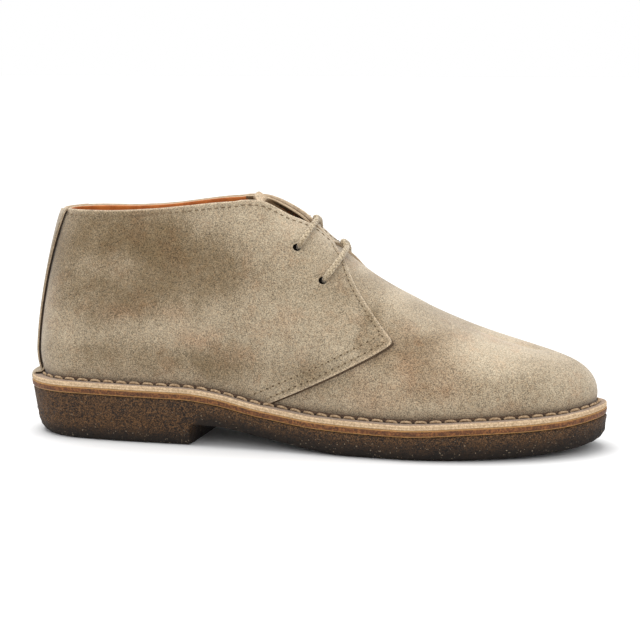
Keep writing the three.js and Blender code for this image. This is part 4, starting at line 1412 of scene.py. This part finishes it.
halfway = np.mean(list(EYELETS.values()), axis=0)
route = np.array(
    through(1, "upper", RISING) + half_bar(1, "upper", 2)
    + half_bar(-1, "upper", 3)[::-1] + through(-1, "upper", RISING[::-1])
    + [lace_point(-1, *halfway, UNDER - 0.4)]
    + through(-1, "lower", RISING) + half_bar(-1, "lower", 4.5)
    + half_bar(1, "lower", 1.5)[::-1] + through(1, "lower", RISING[::-1]))
print("route of", len(route), "points")

# %% [markdown]
# A smooth curve through those points carries a ring of points along it. Two families of strands
# wind round the ring in opposite directions; where neither is on top, the surface sinks and a mark
# paints shade there, which gives the diamonds of a braid. The same mark paints shade near the eyelets.

# %% The braided cord
CORD_STEP, CORD_SIDES = 0.3, 24  # millimetres between rings, and points round a ring
chord = np.concatenate([[0], np.cumsum(np.linalg.norm(np.diff(route, axis=0), axis=1) ** 0.5)])
curve = hermite(chord, route, np.gradient(route, chord, axis=0), np.linspace(0, chord[-1], 900))
cord = evenly(CORD_STEP, curve)[0]
upright = np.broadcast_to([0.15, 0.05, 1.0], (1, len(cord), 3))
points, faces = tubes(cord[None], upright, CORD, sides=CORD_SIDES)
turn = np.arange(CORD_SIDES) / CORD_SIDES * 2 * math.pi
along = np.arange(len(cord))[:, None] * CORD_STEP
braid = sum(np.abs(np.sin(2 * turn + way * along * 1.25)) for way in (1, -1)) / 2
slack = 1 + 0.05 * np.sin(along * 0.9 + 1) + 0.035 * np.sin(along * 2.3)  # it isn't evenly tight
centres = np.repeat(cord, CORD_SIDES, 0)
points = centres + (points - centres) * (slack * (0.88 + 0.16 * braid)).reshape(-1, 1)
# Painted shade on the cord: between the strands of the braid and close to the eyelets.
near_hole = [1 - smoothstep(np.linalg.norm(cord - form(*place), axis=1), 1.8, 5.5) for place in EYELET_AT]
cord_shade = np.maximum(1 - smoothstep(braid, 0.25, 0.7), 0.55 * np.max(near_hole, axis=0)[:, None])
lace = add_mesh("lace_cord", points, faces, [LACE_COTTON], marks={"cord_shade": cord_shade})
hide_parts("lace")
print("lace", round(float(lengths(cord)[-1]), 1), "mm")

# %% [markdown]
# A short dark well with a rolled rim of suede sits in each dip of the leather, and the cord
# comes out of it. Its dark inside is painted shade. It is a stack of rings round the hole's own
# direction.

# %% Eyelet wells
WELL = [  # radius and height of the rings, from the rim to the bottom
    (3.7, 1.2), (3.1, 1.41), (2.5, 1.42), (2.05, 1.3), (1.9, 1.0), (1.85, 0.3), (1.8, -1.2), (0.2, -1.4)]
WELL_SIDES, WELL_RIM = 28, 3  # points round a ring, and how many bands are suede
turn = np.linspace(0, 2 * math.pi, WELL_SIDES, endpoint=False)[:, None]
well_points, well_faces, well_picks = [], [], []
for centre, out in HOLES:
    across = np.cross(out, [0, 0, 1.0])
    across /= np.linalg.norm(across)
    circle = across * np.cos(turn) + np.cross(out, across) * np.sin(turn)
    first = len(well_points) * WELL_SIDES
    last = first + (len(WELL) - 1) * WELL_SIDES
    dip = waves(centre[None])[0]
    well_points += [centre + circle * radius + out * (lift + dip) for radius, lift in WELL]
    well_faces += list(grid_faces(len(WELL), WELL_SIDES, loop=True, start=first))
    well_faces.append(range(last, last + WELL_SIDES))
    well_picks += [0] * WELL_RIM * WELL_SIDES + [1] * ((len(WELL) - 1 - WELL_RIM) * WELL_SIDES + 1)
add_mesh("eyelet_wells", np.concatenate(well_points), well_faces, [SUEDE, EYELET_SHADE], well_picks)
print("wells", len(HOLES))

# %% [markdown]
# ## Stitches
# Each row of stitches is one mesh: a path for each stitch, a few rings along it, and two end
# caps. A stitch dives into the leather at both ends, and the shade in the needle hole there is
# painted with a small dark tube.

# %% Rows of stitches


def row_of_stitches(name, points, normals, pitch, length, radius, finish, rise, sink=0.55,
                    holes=None, lean=0.0, hole_size=0.42):
    """Stitches of a length along a line, one at every pitch, with holes between them if wanted."""
    middle = walk(points, pitch)
    step = np.linalg.norm(np.diff(points, axis=0), axis=1)
    local = np.maximum(take(np.append(step, step[-1])[:, None], middle), 1e-3)
    last = len(points) - 1.001
    t = np.linspace(-1, 1, 7)
    where = np.clip(middle[:, None] + t * (length / 2 / local), 0, last)
    place, out = take(points, where), take(normals, where)
    bow = (1 - t ** 4) * (rise + sink) - sink
    beside = np.cross(np.gradient(place, axis=1), out)
    beside /= np.maximum(np.linalg.norm(beside, axis=-1, keepdims=True), 1e-9)
    paths = place + out * bow[None, :, None] + beside * (t * lean)[None, :, None]
    made, faces = tubes(paths, out, radius, shape=[0.7, 0.95, 1, 1, 1, 0.95, 0.7])
    add_mesh(name, made, faces, [finish])
    # Painted shade: a flat dark tube at each needle hole between the stitches.
    if holes is not None:
        span = np.linspace(-1, 1, 5) * hole_size * 1.35
        where = middle[:, None] + (pitch / 2 + span) / local
        where -= np.maximum(where[:, -1:] - last, 0)  # the last hole stays whole, on the line
        made, faces = tubes(take(points, where), take(normals, where), hole_size, sides=8,
                            shape=[0.45, 0.9, 1, 0.9, 0.45], flat=0.32)
        add_mesh(name + "_holes", made, faces, [holes])


def seam_line(skin, out, edge, distance, clear):
    """Where each grid line of a sheet, walked in from an edge, is a distance away from it.

    The sheet's first row is the one along the edge. Places that come nearer to another edge than
    a distance are left out."""
    gap = from_line(skin, evenly(0.3, edge)[0])
    reached = gap >= distance
    row = np.argmax(reached, axis=0)
    good = reached.any(axis=0) & (row > 0)
    for other, least in clear:
        good &= from_line(skin, evenly(0.3, other)[0])[row, np.arange(len(row))] > least
    column = np.flatnonzero(good)
    row = row[good]
    part = ((distance - gap[row - 1, column]) / (gap[row, column] - gap[row - 1, column]))[:, None]
    return (skin[row - 1, column] * (1 - part) + skin[row, column] * part,
            out[row - 1, column] * (1 - part) + out[row, column] * part)


print("a line of 100 mm holds", len(walk(np.array([[0, 0, 0], [100.0, 0, 0]]), 3.4)), "stitches")

# %% [markdown]
# One seam runs under the top line, with its own stitches on the lining; one runs down the front
# edge, and two run along the lower edge. Each keeps a fixed distance from its edge, so the
# sewing machine's path is found by measuring, and it stops before it meets another edge.

# %% Seams of the quarters
THREAD = 0.34  # half the thread's thickness
FREE_FROM = 134.7  # station where the quarter's lower edge leaves the flange
SEAM_STEP = 0.6  # millimetres between the points of a seam's line


def lower_edge(skin):
    """The quarter's free lower edge, carried on backwards by 12 mm."""
    edge = skin[0][skin[0, :, 0] > FREE_FROM]
    back = edge[0] - edge[8]
    return np.concatenate([[edge[0] + back / np.linalg.norm(back) * 12], edge])


def quarter_seams(side, word):
    """The four seams of a quarter, and the one that shows on its lining."""
    skin, out = SKIN[side]
    top_edge, front_edge, low_edge = skin[-1], skin[:, -1], lower_edge(skin)
    strip_edge = np.stack([np.full(60, 14.0), np.full(60, side * STRIP_HALF), np.linspace(20, 125, 60)], -1)
    line, line_out = evenly(SEAM_STEP, *seam_line(skin[::-1], out[::-1], top_edge, 3.2,
                                                  [(front_edge, 2.6), (strip_edge, 2)]))
    row_of_stitches("top_seam_" + word, line, line_out, 3.4, 2.2, THREAD, TAUPE_THREAD, rise=0.06)
    row_of_stitches("lining_seam_" + word, line - line_out * (QUARTER_LIFT + LINING), -line_out,
                    3.4, 2.3, THREAD, BROWN_THREAD, rise=0.1)
    from_front = (table.transpose(1, 0, 2)[::-1] for table in (skin, out))
    line, line_out = evenly(SEAM_STEP, *seam_line(*from_front, front_edge, 2.9,
                                                  [(top_edge, 3.0), (low_edge, 2.2)]))
    row_of_stitches("front_seam_" + word, line, line_out, 3.3, 2.2, THREAD, SEAM_THREAD, rise=0.05,
                    holes=SEAM_HOLE_SHADE)
    for number, distance in (("one", 2.9), ("two", 7.4)):
        line, line_out = seam_line(skin, out, low_edge, distance, [(front_edge, 2.7)])
        above = line[:, 2] > seat(line[:, 0]) + FLANGE + 2.4
        line, line_out = evenly(SEAM_STEP, line[above], line_out[above])
        row_of_stitches("low_seam_" + number + "_" + word, line, line_out, 3.6, 2.3, THREAD,
                        SEAM_THREAD, rise=0.05, holes=SEAM_HOLE_SHADE)


def edge_shadow(side, word):
    """Painted shadow under a quarter's front and lower edge: a dark tube, thinner up the front."""
    skin, out = SKIN[side]
    front_edge, low_edge = skin[:, -1], lower_edge(skin)
    free = np.concatenate([low_edge[1:], front_edge[1:-3]])
    free_out = np.concatenate([out[0][skin[0, :, 0] > FREE_FROM], out[1:-3, -1]])
    places = np.arange(0, len(free) - 1, 0.5)
    line, line_out = take(free, places), take(free_out, places)
    beyond = np.cross(np.gradient(line, axis=0), line_out) * -side
    beyond /= np.linalg.norm(beyond, axis=-1, keepdims=True)
    line = line - line_out * (QUARTER_LIFT - 0.3) + beyond * 0.25
    from_corner = np.linalg.norm(line - low_edge[-1], axis=1)
    shape = np.where(places > len(low_edge) - 2, 0.4 + 0.5 * np.exp(-(from_corner / 3) ** 2),
                     1.15 + 0.3 * np.exp(-(from_corner / 16) ** 2))
    made, faces = tubes(line[None], line_out[None], 0.62, sides=8, shape=shape)
    add_mesh("edge_shadow_" + word, made, faces, [EDGE_SHADOW])


for side, word in SIDES:
    quarter_seams(side, word)
    edge_shadow(side, word)
    print(word, "seams made")

# %% [markdown]
# The stitches that hold the flange on the midsole are long and thick. They run round the whole
# boot close to the wall, tilted outwards, and stop on both sides of the back strip.

# %% Welt stitches
beyond_foot = -ring_margin + wall_lift + 1.6
welt = np.stack([*offset_outline(ring_around, beyond_foot), np.zeros(RING)], -1)
welt[:, 2] = seat(welt[:, 0]) + FLANGE + 0.3
tilt = np.stack([on_loop(OUT_X, ring_around) * 0.45, on_loop(OUT_Y, ring_around) * 0.45,
                 np.full(RING, 0.9)], -1)
sewn = (np.abs(welt[:, 1]) >= STRIP_HALF + 1.5) | (welt[:, 0] > 60)
line, line_out = evenly(SEAM_STEP, welt[sewn], tilt[sewn])
row_of_stitches("welt_stitches", line, line_out, 7.2, 6.2, 0.66, WELT_THREAD, rise=0.62, sink=0.8,
                holes=HOLE_AND_GAP_SHADE, lean=0.2, hole_size=0.6)
print("welt stitches", len(walk(line, 7.2)))

# %% [markdown]
# ## Camera, light and floor
# A long lens from about a metre away, a little above the boot and turned slightly towards the
# heel, keeps the boot's lines nearly parallel.

# %% Camera
camera = bpy.data.objects.new("camera", bpy.data.cameras.new("camera"))
bpy.context.scene.collection.objects.link(camera)
camera.location = (0.2222, -0.9594, 0.1981)
camera.rotation_euler = (math.radians(90 - 7.98), 0, math.radians(12.84))
camera.data.lens, camera.data.sensor_width = 109, 36
bpy.context.scene.camera = camera
bpy.context.scene.view_settings.view_transform = "Standard"

print("camera", round(camera.location.length, 2), "m away")

# %% [markdown]
# The light is a wide sun from above, like an overcast sky: it makes the pale top planes and lets
# the walls fall off gently. A weak box in front lifts the side, and a white world fills the
# shadows. The floor is a plain pale sheet a hair below the sole.

# %% Light and floor


def lamp(name, kind, energy, aim):
    """A light that shines along a direction."""
    made = bpy.data.objects.new(name, bpy.data.lights.new(name, kind))
    made.data.energy = energy
    made.rotation_euler = Vector(aim).to_track_quat("-Z", "Y").to_euler()
    bpy.context.scene.collection.objects.link(made)
    return made


skylight = lamp("skylight", "SUN", 2.55, (0.22, -0.2, -1.0))
skylight.data.angle = math.radians(46)
front = lamp("front", "AREA", 4, (-0.5, 1.3, -0.65))
front.data.shape, front.data.size, front.data.size_y = "RECTANGLE", 0.9, 0.7
front.location = (0.5, -1.3, 0.7)
bpy.context.scene.world = bpy.data.worlds.new("studio")
bpy.context.scene.world.use_nodes = True
background = bpy.context.scene.world.node_tree.nodes["Background"]
background.inputs["Color"].default_value = (1, 1, 1, 1)
background.inputs["Strength"].default_value = 1.0

paper = Finish("pale_paper", Roughness=0.9, Specular_IOR_Level=0.1)
paper.colour(rgb(222, 222, 222))
floor_mesh = bpy.data.meshes.new("floor")
half_floor, below = 12.0, -0.0002
corners = [(x * half_floor, y * half_floor, below) for x, y in ((-1, -1), (1, -1), (1, 1), (-1, 1))]
floor_mesh.from_pydata(corners, [], [(0, 1, 2, 3)])
floor_mesh.materials.append(paper.material)
floor = bpy.data.objects.new("floor", floor_mesh)
bpy.context.scene.collection.objects.link(floor)
print("the floor is", 2 * half_floor, "m wide")
